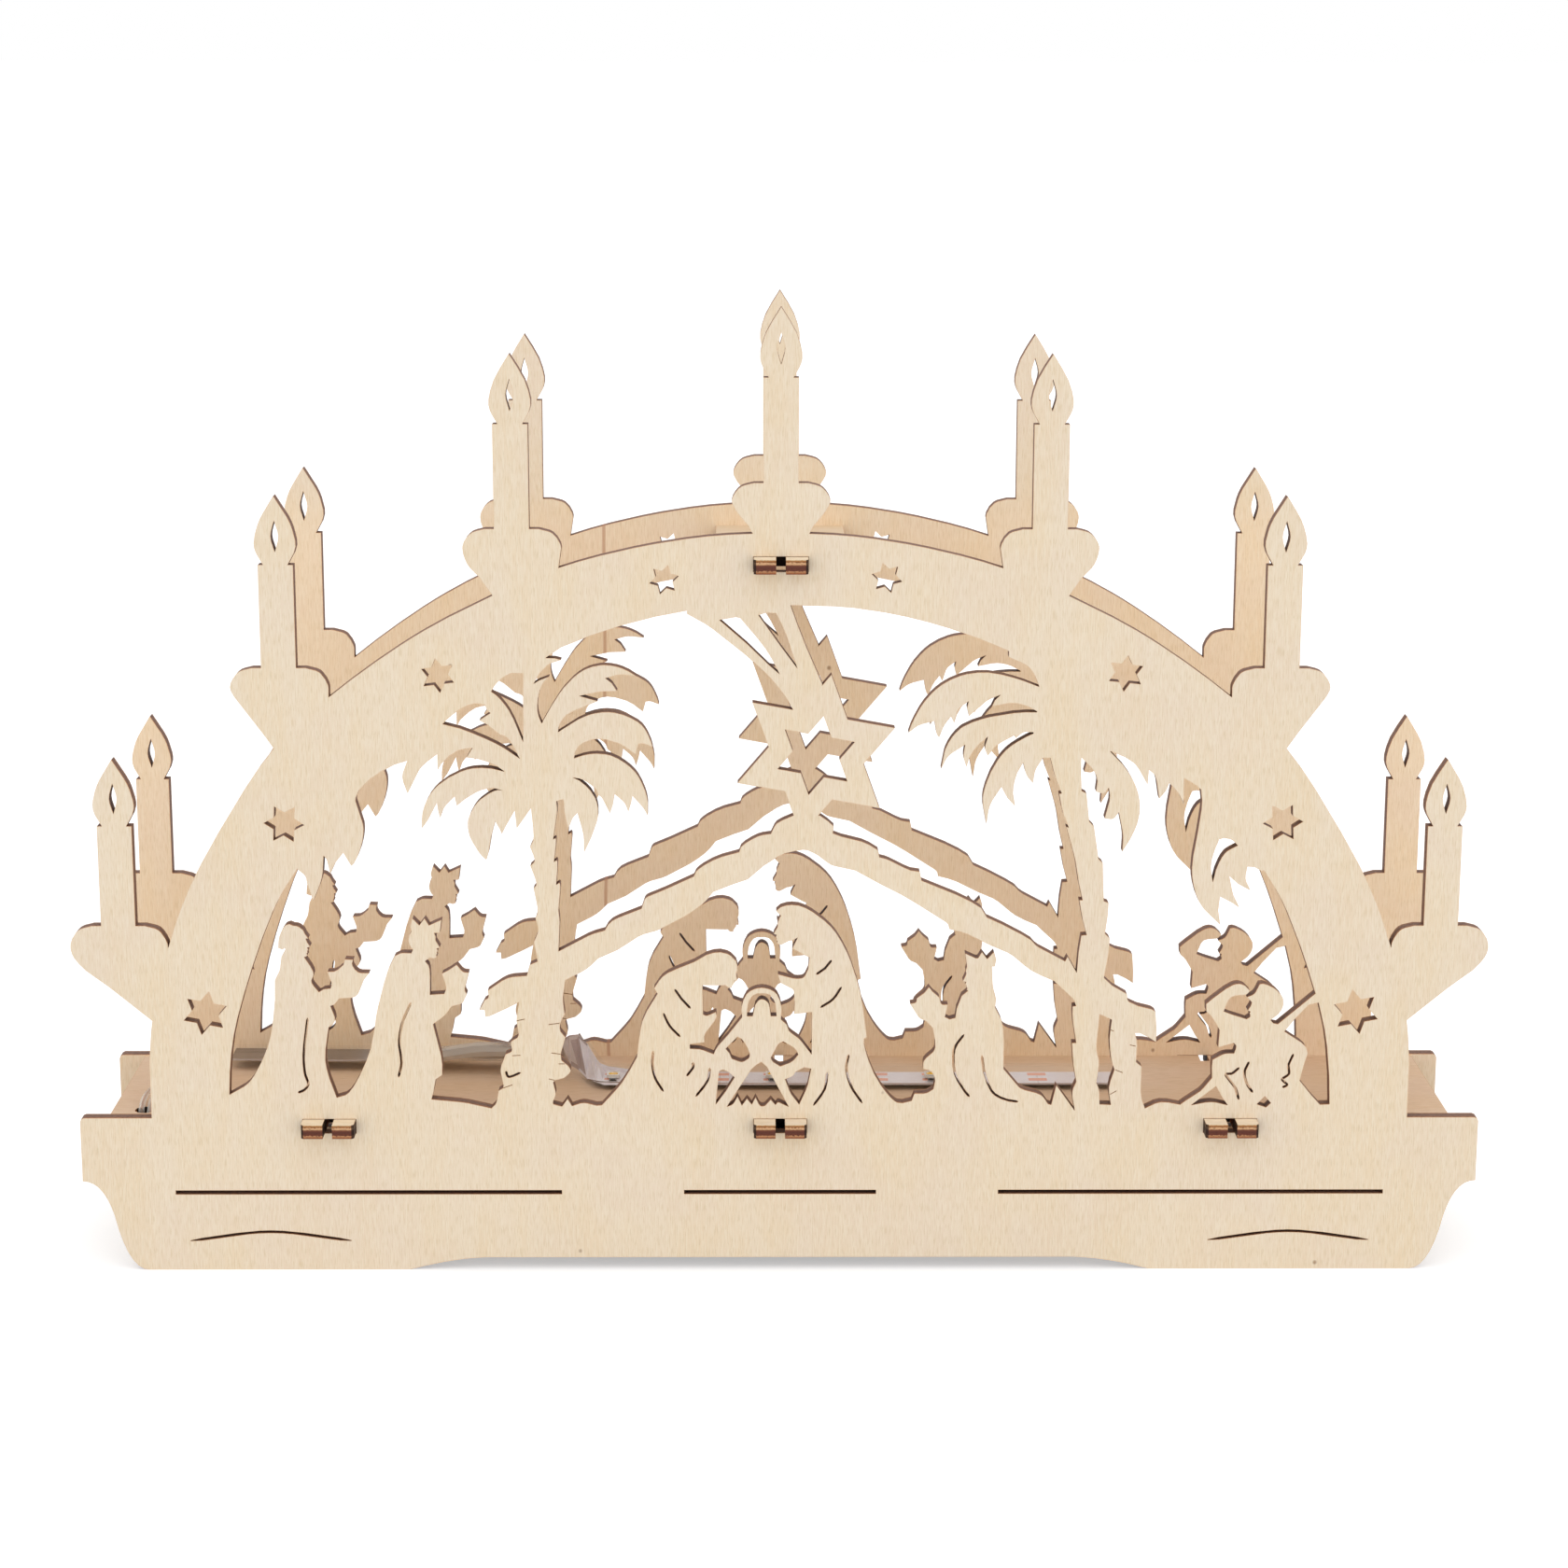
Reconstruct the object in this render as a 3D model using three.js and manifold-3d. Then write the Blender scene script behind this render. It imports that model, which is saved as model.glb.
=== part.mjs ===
// Lighted candle arch for Christmas, put together from laser cut birch plywood.
// Two equal fretwork panels stand one behind the other. A floor plate and a top strut join them with
// split tabs. A strip of light-emitting diodes in a clear sleeve lies on the floor plate, and its
// battery case hangs under the plate, inside the base.
//
// Millimetres. X runs to the right, Y to the back and Z up. The origin lies on the table, under the
// middle of the arch. The pieces are drawn with y = 0 at the front panel's front face, and the whole
// is moved there at the end.

import * as THREE from 'three';
import { mergeVertices } from 'three/addons/utils/BufferGeometryUtils.js';
import Module from 'manifold-3d';

const wasm = await Module();
wasm.setup();

// Plywood
const ply = 3;
const slotPlay = 0.1; // all round a tab in its slot
const burntSlit = 0.5; // width of a cut line in the figures

// Base of a panel
const baseHeight = 33.8;
const baseOverhang = 15.1; // from the arch's foot to the base's end
const baseCorner = 0.8;
const ogeeHeight = 19.8;
const ogeeInset = 13.4;
const footLength = 55.5;
const footSlope = 15.9; // from the foot to the raised middle
const footClearance = 2.7; // the raised middle, above the table
const grooveHeight = 0.9;
const grooveRise = 17.3; // the straight cut lines, above the table
const grooveLength = 81.8;
const middleGrooveLength = 40.7;
const grooveGap = 25.9; // from the middle cut line to its neighbours
const bowLength = 34.2;
const bowRise = 2; // how far a bowed cut line curves up
const bowHeight = 6.5; // its ends, above the table
const bowWidth = 0.6;
const bowPlace = 108.2; // its middle, from the arch's middle

// Arch
const archHalfWidth = 132.5; // at the feet
const archRise = 124.5; // from the base's top edge to the crown

// Candles
const candleWidth = 7.15;
const candleHeight = 21.3;
const flameHeight = 14.1;
const flameWidth = 8.5;
const flameNeck = 5; // width of the flame where it leaves the candle
const eyeHeight = 6.5;
const eyeWidth = 1.6;
const eyeRise = 2.6; // the flame's window, above the candle
const trayHalfWidth = 10;

// Joints between the plywood pieces
const tabWidth = 11.1;
const tabReach = 4; // how far a tab stands out of a panel
const tabSlit = 2;
const tabSlitDepth = 11;
const tabCorner = 0.5;
const tabPitch = 95.1; // from the middle tab to the outer ones
const floorDrop = 0.3; // the floor plate's top, below the base's top edge
const floorInset = 5.7; // the floor plate's ends, inside the base's ends
const strutWidth = 27.4;
const strutDrop = 5; // the strut's top, below the crown

// Light strip
const sleeveWidth = 10;
const sleeveHeight = 3.2;
const sleeveWall = 0.55;
const sleeveCorner = 0.9;
const boreCorner = 0.3;
const stripRest = 0.3; // clearance under the sleeve, and round what lies in it
const boardWidth = 8;
const boardThickness = 0.4;
const boardInset = 1; // the board's ends, inside the sleeve's
const diodeCount = 6;
const diodeInset = 6.4; // from the strip's right end to the first diode
const diodeOutset = 16.6; // from the last diode to the strip's left end
const diodeLength = 3.5;
const diodeWidth = 2.8;
const diodeHeight = 0.8;
const stripEnd = 74; // X of the strip's right end
const flatDiodes = 4; // diodes to the right of the strip's half turn
const twistLag = 1.8; // from the last of them to where the half turn starts
const twistLength = 56;
const twistStep = 2; // between the sections that follow the turn

// Battery case
const cellDiameter = 10.5;
const cellLength = 44.5;
const cellCap = 3.8; // diameter of a cell's raised end
const cellCapHeight = 0.8;
const cellPlay = 0.5; // round each cell
const cellCount = 3;
const caseWall = 1.6;
const caseRoof = 1.4;
const lidThickness = 1.5;
const lidLip = 1; // height of the lips that carry the lid
const lidPlay = 0.3;
const railDepth = 1; // how far the lid reaches into each side wall
const gripLength = 16;
const gripWidth = 2;
const gripDepth = 0.6;
const gripPitch = 4;
const gripCount = 3;
const gripInset = 7; // from the bay's end to the first groove
const cellRim = 0.6; // bevel round a cell's ends
const contactThickness = 0.4;
const contactRoom = 2.4; // between a cell's end and the case
const contactGap = 0.3; // between a contact and its cell
const contactHeight = 8;
const contactMargin = 3.8; // from a cell's middle to the plate's side edge
const dimpleTip = 1.6; // radius of the dimple that meets a cell's raised end
const dimpleBase = 2;
const springTip = 1.2; // radius of the coil that meets a cell's flat end
const springBase = 3;
const caseClearance = 1.65; // between the case and the panels
const switchRoom = 11; // length of the case beside the cells
const switchLength = 8.6;
const switchWidth = 4;
const switchHeight = 4.8;
const knobLength = 2.2;
const knobWidth = 1.5;
const knobReach = 1.3; // how far the knob stands out of the case
const knobTravel = 3;
const knobPlay = 0.3;
const tapeThickness = 1;
const tapeInset = 6;
const cutPast = 1; // how far a cutting body runs past what it cuts

// Leads
const leadDiameter = 1.3;
const leadSpacing = 2.6;
const leadPlay = 0.5; // above and below a lead where it enters the case
const leadRoom = 2; // over the switch, for the leads' ends
const leadHole = 4.4; // diameter of the hole in the floor plate
const leadHoleInset = 6.9; // from the plate's end to the hole's middle
const leadHoleMargin = 1.4; // from the plate's front edge to the hole
const leadHolePlay = 0.25; // between the leads in the hole, each side of its middle
const leadRun = 13; // from the hole to the strip's left end
const leadLoop = 18; // how far the leads bow out behind the hole
const leadBend = 4.5; // from the hole to where a lead lies on the plate
const leadLift = 0.8; // how far a lead springs off the plate at a bend

// Fineness of curves
const pointsPerSpan = 7;
const chordError = 0.06;

// Places that follow from the sizes
const baseHalf = archHalfWidth + baseOverhang;
const crown = baseHeight + archRise;
const bayWidth = cellCount * cellDiameter + (cellCount + 1) * cellPlay;
const caseWidth = bayWidth + 2 * (railDepth + caseWall);
const roomDepth = caseWidth + 2 * caseClearance; // clear room between the two panels
const backPanelY = ply + roomDepth;
const floorTop = baseHeight - floorDrop;
const strutTop = crown - strutDrop;
const roomMiddle = ply + roomDepth / 2;
const floorHalf = baseHalf - floorInset;
const leadHoleX = leadHoleInset - floorHalf;
const leadHoleY = leadHoleMargin + leadHole / 2;
const stripLength = stripEnd - leadHoleX - leadRun;
const diodePitch = (stripLength - diodeInset - diodeOutset) / (diodeCount - 1);
const twistStart = diodeInset + (flatDiodes - 1) * diodePitch + twistLag;
const twistEnd = twistStart + twistLength;

// The picture is drawn in millimetres across from the middle and up from the base's top edge. It
// stretches with the arch, whose right half is drawn here: the crown, the outer edge down to the base
// and the inner edge up again.
const drawnArch = [
  [0, 124.5],
  [15, 123.7, 30, 121.3, 45.3, 117.2, 58.8, 111.5, 75, 103, 92.7, 90.4,
    104.2, 79.8, 115, 64, 123.6, 48.2, 128.6, 33.8, 131.5, 21.5, 132.5, 12.2],
  [132.5, -5],
  [116.1, -5],
  [116.1, 2.2],
  [115.6, 11.2, 114.6, 18.2, 112.1, 27.4, 107.2, 41.2, 103.3, 49.4, 93.5, 63.2, 87.2, 70.7,
    79, 78.2, 69.5, 85.1, 55, 95.5, 45, 100.8, 30, 106.1, 15, 109, 0, 109.6],
];
const drawnRise = drawnArch[0][1];
const drawnHalfWidth = drawnArch[2][0];
const across = (x) => (x * archHalfWidth) / drawnHalfWidth;
const upward = (z) => baseHeight + (z * archRise) / drawnRise;

// Curve through points given as x, z, x, z and so on
function curvePoints(numbers) {
  const knots = [];
  for (let i = 0; i < numbers.length; i += 2) {
    knots.push(new THREE.Vector3(numbers[i], numbers[i + 1], 0));
  }
  if (knots.length === 2) {
    return knots;
  }
  const curve = new THREE.CatmullRomCurve3(knots, false, 'centripetal');
  return curve.getPoints((knots.length - 1) * pointsPerSpan);
}

// Closed outline made of runs: each is a smooth curve that starts where the run before it ended, so
// that every run's last point is a corner
function runs(...parts) {
  const points = [new THREE.Vector2(parts[0][0], parts[0][1])];
  for (const part of parts.slice(1)) {
    const from = points[points.length - 1];
    for (const point of curvePoints([from.x, from.y, ...part]).slice(1)) {
      points.push(new THREE.Vector2(point.x, point.y));
    }
  }
  return points;
}

// The same, for a shape of the picture
function drawn(...parts) {
  return runs(...parts).map((point) => new THREE.Vector2(across(point.x), upward(point.y)));
}

// Thin cut line along a curve, with pointed ends
function slit(numbers, width = burntSlit) {
  const middle = curvePoints(numbers);
  const last = middle.length - 1;
  const left = [];
  const right = [];
  middle.forEach((point, i) => {
    const before = middle[Math.max(i - 1, 0)];
    const after = middle[Math.min(i + 1, last)];
    const along = new THREE.Vector3().subVectors(after, before).normalize();
    const half = (width / 2) * Math.min(1, 0.25 + Math.min(i, last - i));
    left.push(new THREE.Vector2(point.x - along.y * half, point.y + along.x * half));
    right.push(new THREE.Vector2(point.x + along.y * half, point.y - along.x * half));
  });
  return [...left, ...right.reverse()];
}

// Offsets in the picture, given as x, z, x, z and so on
function drawnSteps(numbers) {
  return numbers.map((value, i) => (i % 2 === 0 ? across(value) : upward(value) - baseHeight));
}

function drawnSlit(numbers) {
  return slit(numbers.map((value, i) => (i % 2 === 0 ? across(value) : upward(value))));
}

function rectangle(x, z, width, height) {
  return [
    new THREE.Vector2(x - width / 2, z - height / 2),
    new THREE.Vector2(x + width / 2, z - height / 2),
    new THREE.Vector2(x + width / 2, z + height / 2),
    new THREE.Vector2(x - width / 2, z + height / 2),
  ];
}

// Six-pointed star, as two crossed triangles give
function star(x, z, radius, turn) {
  const points = [];
  for (let i = 0; i < 12; i += 1) {
    const reach = i % 2 === 0 ? radius : radius / Math.sqrt(3);
    const angle = THREE.MathUtils.degToRad(turn + 30 * i);
    points.push(new THREE.Vector2(x + reach * Math.cos(angle), z + reach * Math.sin(angle)));
  }
  return points;
}

// Right half of a shape, given from the top down, and its mirror image
function mirrored(half) {
  const other = half.map((point) => new THREE.Vector2(-point.x, point.y)).reverse();
  return [...half, ...other];
}

function solidOf(geometry) {
  const bare = geometry.clone();
  bare.deleteAttribute('normal');
  bare.deleteAttribute('uv');
  const merged = mergeVertices(bare, 1e-4);
  return new wasm.Manifold(new wasm.Mesh({
    numProp: 3,
    vertProperties: new Float32Array(merged.attributes.position.array),
    triVerts: new Uint32Array(merged.index.array),
  }));
}

function geometryOf(solid) {
  const mesh = solid.getMesh();
  const geometry = new THREE.BufferGeometry();
  geometry.setAttribute('position', new THREE.BufferAttribute(new Float32Array(mesh.vertProperties), 3));
  geometry.setIndex(new THREE.BufferAttribute(new Uint32Array(mesh.triVerts), 1));
  return geometry;
}

// Flat body between two heights; where its outline crosses itself, all that it goes round is filled
function sheet(points, from, to) {
  const section = new wasm.CrossSection([points.map(({ x, y }) => [x, y])], 'NonZero');
  return section.extrude(to - from).translate([0, 0, from]);
}

// Fewest points of a line that stay within the chord error
function thinned(points) {
  const first = points[0];
  const last = points[points.length - 1];
  const chord = new THREE.Line3(
    new THREE.Vector3(first.x, first.y, 0),
    new THREE.Vector3(last.x, last.y, 0),
  );
  let worst = chordError;
  let split = 0;
  for (let i = 1; i < points.length - 1; i += 1) {
    const point = new THREE.Vector3(points[i].x, points[i].y, 0);
    const nearest = chord.closestPointToPoint(point, true, new THREE.Vector3());
    const error = nearest.distanceTo(point);
    if (error > worst) {
      worst = error;
      split = i;
    }
  }
  if (split === 0) {
    return [first, last];
  }
  return [...thinned(points.slice(0, split + 1)).slice(0, -1), ...thinned(points.slice(split))];
}

function farthest(points, from) {
  return points.reduce((far, point) => (point.distanceTo(from) > far.distanceTo(from) ? point : far), from);
}

// The same for a closed line, between two of its outermost corners
function thinnedLoop(points) {
  const start = points.indexOf(farthest(points, points[0]));
  const loop = [...points.slice(start), ...points.slice(0, start)];
  const middle = loop.indexOf(farthest(loop, loop[0]));
  return [
    ...thinned(loop.slice(0, middle + 1)).slice(0, -1),
    ...thinned([...loop.slice(middle), loop[0]]).slice(0, -1),
  ];
}

// Outlines of a flat solid's upper face, each thinned, the outer ones counterclockwise
function faceOutlines(solid, top) {
  const { vertProperties: places, triVerts: corners } = solid.getMesh();
  const onTop = (i) => Math.abs(places[3 * i + 2] - top) < 1e-3;
  const edges = new Set();
  for (let i = 0; i < corners.length; i += 3) {
    const triangle = [corners[i], corners[i + 1], corners[i + 2]];
    if (triangle.every(onTop)) {
      triangle.forEach((corner, k) => {
        const next = triangle[(k + 1) % 3];
        if (!edges.delete(`${next} ${corner}`)) {
          edges.add(`${corner} ${next}`);
        }
      });
    }
  }
  const following = new Map([...edges].map((edge) => edge.split(' ').map(Number)));
  const outlines = [];
  while (following.size > 0) {
    const loop = [];
    let corner = following.keys().next().value;
    while (following.has(corner)) {
      loop.push(new THREE.Vector2(places[3 * corner], places[3 * corner + 1]));
      const next = following.get(corner);
      following.delete(corner);
      corner = next;
    }
    outlines.push(thinnedLoop(loop));
  }
  // Crumbs smaller than the chord error are left with two points
  return outlines.filter((outline) => outline.length > 2);
}

// Plywood piece from the outlines of its parts and of what is sawn out of it
function fretwork(parts, cuts) {
  const whole = parts.map((points) => sheet(points, 0, 1)).reduce((sum, part) => sum.add(part));
  const sawn = cuts.map((points) => sheet(points, -1, 2)).reduce((rest, cut) => rest.subtract(cut), whole);
  const outlines = faceOutlines(sawn, 1);
  const isHole = (points) => THREE.ShapeUtils.area(points) < 0;
  const board = outlines.filter((points) => !isHole(points))
    .map((points) => sheet(points, 0, ply))
    .reduce((sum, part) => sum.add(part));
  return geometryOf(outlines.filter(isHole)
    .map((points) => sheet([...points].reverse(), -1, ply + 1))
    .reduce((rest, cut) => rest.subtract(cut), board));
}

// Base and arch

function baseOutline() {
  const foot = baseHalf - ogeeInset;
  const inner = foot - footLength;
  const path = new THREE.Path();
  path.moveTo(baseHalf - baseCorner, baseHeight);
  path.absarc(baseHalf - baseCorner, baseHeight - baseCorner, baseCorner, Math.PI / 2, 0, true);
  path.lineTo(baseHalf, ogeeHeight);
  path.quadraticCurveTo(
    baseHalf - 0.32 * ogeeInset, ogeeHeight,
    baseHalf - 0.48 * ogeeInset, 0.61 * ogeeHeight,
  );
  path.quadraticCurveTo(baseHalf - 0.67 * ogeeInset, 0, foot, 0);
  path.lineTo(inner, 0);
  path.quadraticCurveTo(inner - 0.55 * footSlope, 0.9 * footClearance, inner - footSlope, footClearance);
  return mirrored(path.getPoints(pointsPerSpan));
}

function baseCuts() {
  const cuts = [rectangle(0, grooveRise, middleGrooveLength, grooveHeight)];
  const groovePlace = middleGrooveLength / 2 + grooveGap + grooveLength / 2;
  for (const side of [-1, 1]) {
    cuts.push(rectangle(side * groovePlace, grooveRise, grooveLength, grooveHeight));
    const from = side * bowPlace - bowLength / 2;
    const bow = [from, bowHeight, from + bowLength / 2, bowHeight + bowRise, from + bowLength, bowHeight];
    cuts.push(slit(bow, bowWidth));
  }
  return cuts;
}

function archOutlines() {
  const half = drawn(...drawnArch);
  return [half, half.map((point) => new THREE.Vector2(-point.x, point.y)).reverse()];
}

// Ground that the figures stand on
function groundOutline() {
  return drawn(
    [-118, -5],
    [-118, 4.2],
    [-73.4, 4.1],
    [-66, 3.3, -60.8, 2.1],
    [-47.8, 3],
    [-46, 2.5],
    [-44.8, 4.2],
    [-43.9, 2.6],
    [-41.5, 3.3, -38.7, 2.7, -37.6, 2.8],
    [60, 2.8],
    [62.1, 1.6],
    [77, 2],
    [79.5, 3.2, 81, 3.4, 84.5, 2.8],
    [118, 2.8],
    [118, -5],
  );
}

// Star-shaped holes along the arch, from left to right: place, radius and turn
const archStars = [
  [-120.4, 23, 4.8, 19],
  [-102.7, 63.7, 4.2, 57],
  [-70.3, 94.9, 3.6, 37],
  [-23.8, 114.8, 3.1, 14],
  [21.6, 115.2, 3.2, 46],
  [70.8, 95.4, 3.8, 24],
  [104.1, 64, 4.2, 3],
  [120.8, 23.2, 4.9, 41],
];

function archStarCuts() {
  return archStars.map(([x, z, radius, turn]) => star(across(x), upward(z), radius, turn));
}

// Candles

function candleOutline(x, foot) {
  const top = foot + candleHeight;
  const half = candleWidth / 2;
  return [
    new THREE.Vector2(x - half, foot - half),
    new THREE.Vector2(x + half, foot - half),
    new THREE.Vector2(x + half, top),
    new THREE.Vector2(x - half, top),
  ];
}

function flameOutline(x, foot) {
  const low = foot + candleHeight - candleWidth / 4;
  const start = foot + candleHeight;
  const wide = flameWidth / 2;
  const rising = [
    x + 0.94 * wide, start + 0.2 * flameHeight,
    x + wide, start + 0.32 * flameHeight,
    x + 0.77 * wide, start + 0.6 * flameHeight,
    x + 0.4 * wide, start + 0.81 * flameHeight,
    x, start + flameHeight,
  ];
  const falling = [
    x - 0.4 * wide, start + 0.81 * flameHeight,
    x - 0.77 * wide, start + 0.6 * flameHeight,
    x - wide, start + 0.32 * flameHeight,
    x - 0.94 * wide, start + 0.2 * flameHeight,
    x - flameNeck / 2, start,
  ];
  return runs(
    [x - flameNeck / 2, low],
    [x + flameNeck / 2, low],
    [x + flameNeck / 2, start],
    rising,
    falling,
  );
}

function eyeOutline(x, foot) {
  const low = foot + candleHeight + eyeRise;
  const high = low + eyeHeight;
  const middle = (low + high) / 2;
  return runs([x, low], [x + eyeWidth / 2, middle, x, high], [x - eyeWidth / 2, middle, x, low]);
}

// Drip tray: a lobe to each side and the roots that grow from the arch
function trayOutline(side, x, top, outerRoot, innerRoot) {
  const shoulder = (sign) => [0.83 * sign * trayHalfWidth, -0.09 * trayHalfWidth];
  const brim = (sign) => [sign * trayHalfWidth, -0.35 * trayHalfWidth];
  const rootBack = [];
  for (let i = innerRoot.length - 2; i >= 0; i -= 2) {
    rootBack.push(innerRoot[i], innerRoot[i + 1]);
  }
  const outline = runs(
    [-0.55 * trayHalfWidth, 0],
    [0.55 * trayHalfWidth, 0],
    [...shoulder(1), ...brim(1), ...outerRoot],
    rootBack.slice(0, 2),
    [...rootBack.slice(2), ...brim(-1), ...shoulder(-1), -0.55 * trayHalfWidth, 0],
  );
  return outline.map((point) => new THREE.Vector2(side * (x + point.x), top + point.y));
}

// Place and tray height of each candle, and the roots of its tray from the lobes to the arch, measured
// from the tray's top
const candles = [
  [0, 134.6, [9.3, -5.4, 6.2, -9.4, 5.2, -12], [-9.3, -5.4, -6.2, -9.4, -5.2, -12]],
  [54.7, 125.2, [9.1, -7.2, 6.8, -9.8, 3.2, -15], [-9.6, -6.5, -9.2, -10]],
  [102.8, 96.5, [9.9, -4.8, 6.5, -9.8, 3.2, -14.3, 0.4, -18.5], [-10.1, -5, -10, -9]],
  [137.8, 41.9, [9.9, -6, 7.7, -9.1, 2.2, -13.4, -7.5, -21.6], [-10.2, -5, -10.6, -9]],
];

function candleParts() {
  const parts = [];
  for (const [place, trayTop, outerRoot, innerRoot] of candles) {
    const x = across(place);
    const z = upward(trayTop);
    for (const side of place === 0 ? [1] : [-1, 1]) {
      parts.push(trayOutline(side, x, z, drawnSteps(outerRoot), drawnSteps(innerRoot)));
      parts.push(candleOutline(side * x, z));
      parts.push(flameOutline(side * x, z));
    }
  }
  return parts;
}

function candleCuts() {
  return candles.flatMap(([place, trayTop]) => (place === 0 ? [1] : [-1, 1])
    .map((side) => eyeOutline(side * across(place), upward(trayTop))));
}

// Stable roof and the comet above it

function roofOutline() {
  return drawn(
    [-49, 33.2],
    [-46.3, 36.4],
    [-43, 38.1, -39.5, 40, -36.6, 40.9],
    [-36, 42, -35, 43, -28.9, 45.6],
    [-28.5, 46.9, -28, 47.9, -24, 49.7, -18, 52.5],
    [-17.4, 53.7, -13.5, 56.2, -8.6, 57.7],
    [-8.2, 58.8, -6.5, 60.1, -4.3, 61.2, -2, 61.6],
    [-1.5, 62.7, -0.8, 63.8, 2.6, 65.5],
    [8.1, 65.5],
    [10.2, 64, 11, 63.2],
    [10.8, 61.7],
    [12, 61.2, 17.5, 59.7, 20.2, 58.1],
    [20.5, 56.6],
    [22, 56.2, 27, 53.8, 28.9, 53.5],
    [29.3, 51.6],
    [31, 50.9, 38.7, 47.6, 41.8, 45.7],
    [43, 43.7],
    [45, 42.8, 50, 40.2, 52.3, 38.8],
    [53.4, 37.6, 56, 36.1, 60.8, 33.3, 62, 31.6],
    [65, 29.2],
    [57.3, 29.9],
    [52.5, 32.2, 48, 35.8, 44, 37.6, 38.5, 40.3, 35.2, 41.2],
    [34.9, 42.3, 33, 43.6, 26, 48.1, 20.5, 51, 15.5, 53.8],
    [12.5, 54.5, 10.5, 55, 7.8, 57, 5.2, 58.2, 3.8, 58.1, 0.5, 57.3, -1.8, 55.9],
    [-3.5, 54.8, -6.8, 51.9],
    [-10, 50.8, -14, 49.2],
    [-16, 46.8, -19.5, 44.2, -22, 42.8],
    [-25.5, 41, -29, 39.9, -34, 36.7],
    [-38, 34.9],
    [-40.5, 32.6, -44.9, 30.2],
    [-49, 28.2],
  );
}

function cometTail() {
  return drawn(
    [-19.2, 107.8],
    [-15, 105.4, -11.5, 102.7, -6, 98.2, -1.8, 94.1, 1.2, 90.2, 2.6, 87.7],
    [6, 82.2],
    [8.5, 93.2],
    [6.5, 97.7, 3.5, 105.2, 2, 109.4],
    [0, 114.2],
    [-19, 113.2],
  );
}

function cometParts() {
  return [cometTail(), star(across(7.3), upward(78.2), 17.2, 19.7)];
}

function cometCuts() {
  return [
    star(across(7.3), upward(78.2), 8.45, 19.7),
    drawn(
      [-12.6, 106.5],
      [-9.2, 107.1],
      [-8.3, 106.9],
      [-6, 104.2, -2.7, 99.9, -0.2, 95.2],
      [-2.5, 97.2, -5.5, 100.2, -9, 103.4, -12.6, 106.5],
    ),
    drawn([-4.6, 107.5], [-3, 108], [-1, 107.9], [0.8, 104.2, 3.4, 96.4], [0, 101, -4.6, 107.5]),
  ];
}

// Palm tree on the left

function leftTrunk() {
  return drawn(
    [-60.8, -1.8],
    [-60.8, 2.2],
    [-59.9, 3.2, -59.3, 6],
    [-58.3, 6.7, -58.8, 10.7, -57.7, 14],
    [-56.4, 14.7, -56.5, 16.7, -55.2, 17.6],
    [-54.9, 18.2, -55.3, 21.3, -54.7, 25.4],
    [-57, 24.2, -60.8, 22.4],
    [-61.8, 22.2],
    [-61.9, 23.7],
    [-63, 23.7],
    [-61.9, 25.8],
    [-61.1, 26.4, -61.2, 27.9],
    [-57, 30.6, -53, 31.1],
    [-52.3, 33.5],
    [-50.7, 34.2],
    [-51.4, 38.4],
    [-50.5, 40.9, -51, 43.5],
    [-50.5, 45.2, -51.3, 50],
    [-50.7, 50.7, -51.9, 54.8],
    [-51, 55.8, -51.9, 58.8],
    [-51.2, 60.4, -51.6, 67.2],
    [-52, 72.2],
    [-46, 72.2],
    [-46.4, 69],
    [-46.2, 66.7, -47.1, 60.4],
    [-46.6, 60.7, -47, 55.6],
    [-46.4, 56, -46.6, 50.7],
    [-45.9, 51.1, -46.2, 45.2],
    [-46, 43.2, -46.3, 36.4],
    [-44.9, 30.2],
    [-45.5, 26.2, -45.2, 22.7],
    [-46, 21.2, -46.2, 19.2, -45.1, 17.7],
    [-46.1, 14, -46, 12.7],
    [-44.4, 11.2, -44.1, 10.2, -45.5, 8.8],
    [-47.5, 8.2, -47.8, 7.8],
    [-47.3, 5.2, -47.9, 3.5, -47.8, 3],
    [-47.8, -1.8],
  );
}

// Hub that the fronds grow from
function leftHub() {
  return drawn(
    [-51.6, 67.1],
    [-44.7, 69],
    [-43, 73.6],
    [-42.6, 77.6],
    [-45.8, 83.1],
    [-49, 85.2],
    [-53.7, 77.5],
    [-57, 74.9],
    [-57.3, 70.8],
  );
}

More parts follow.
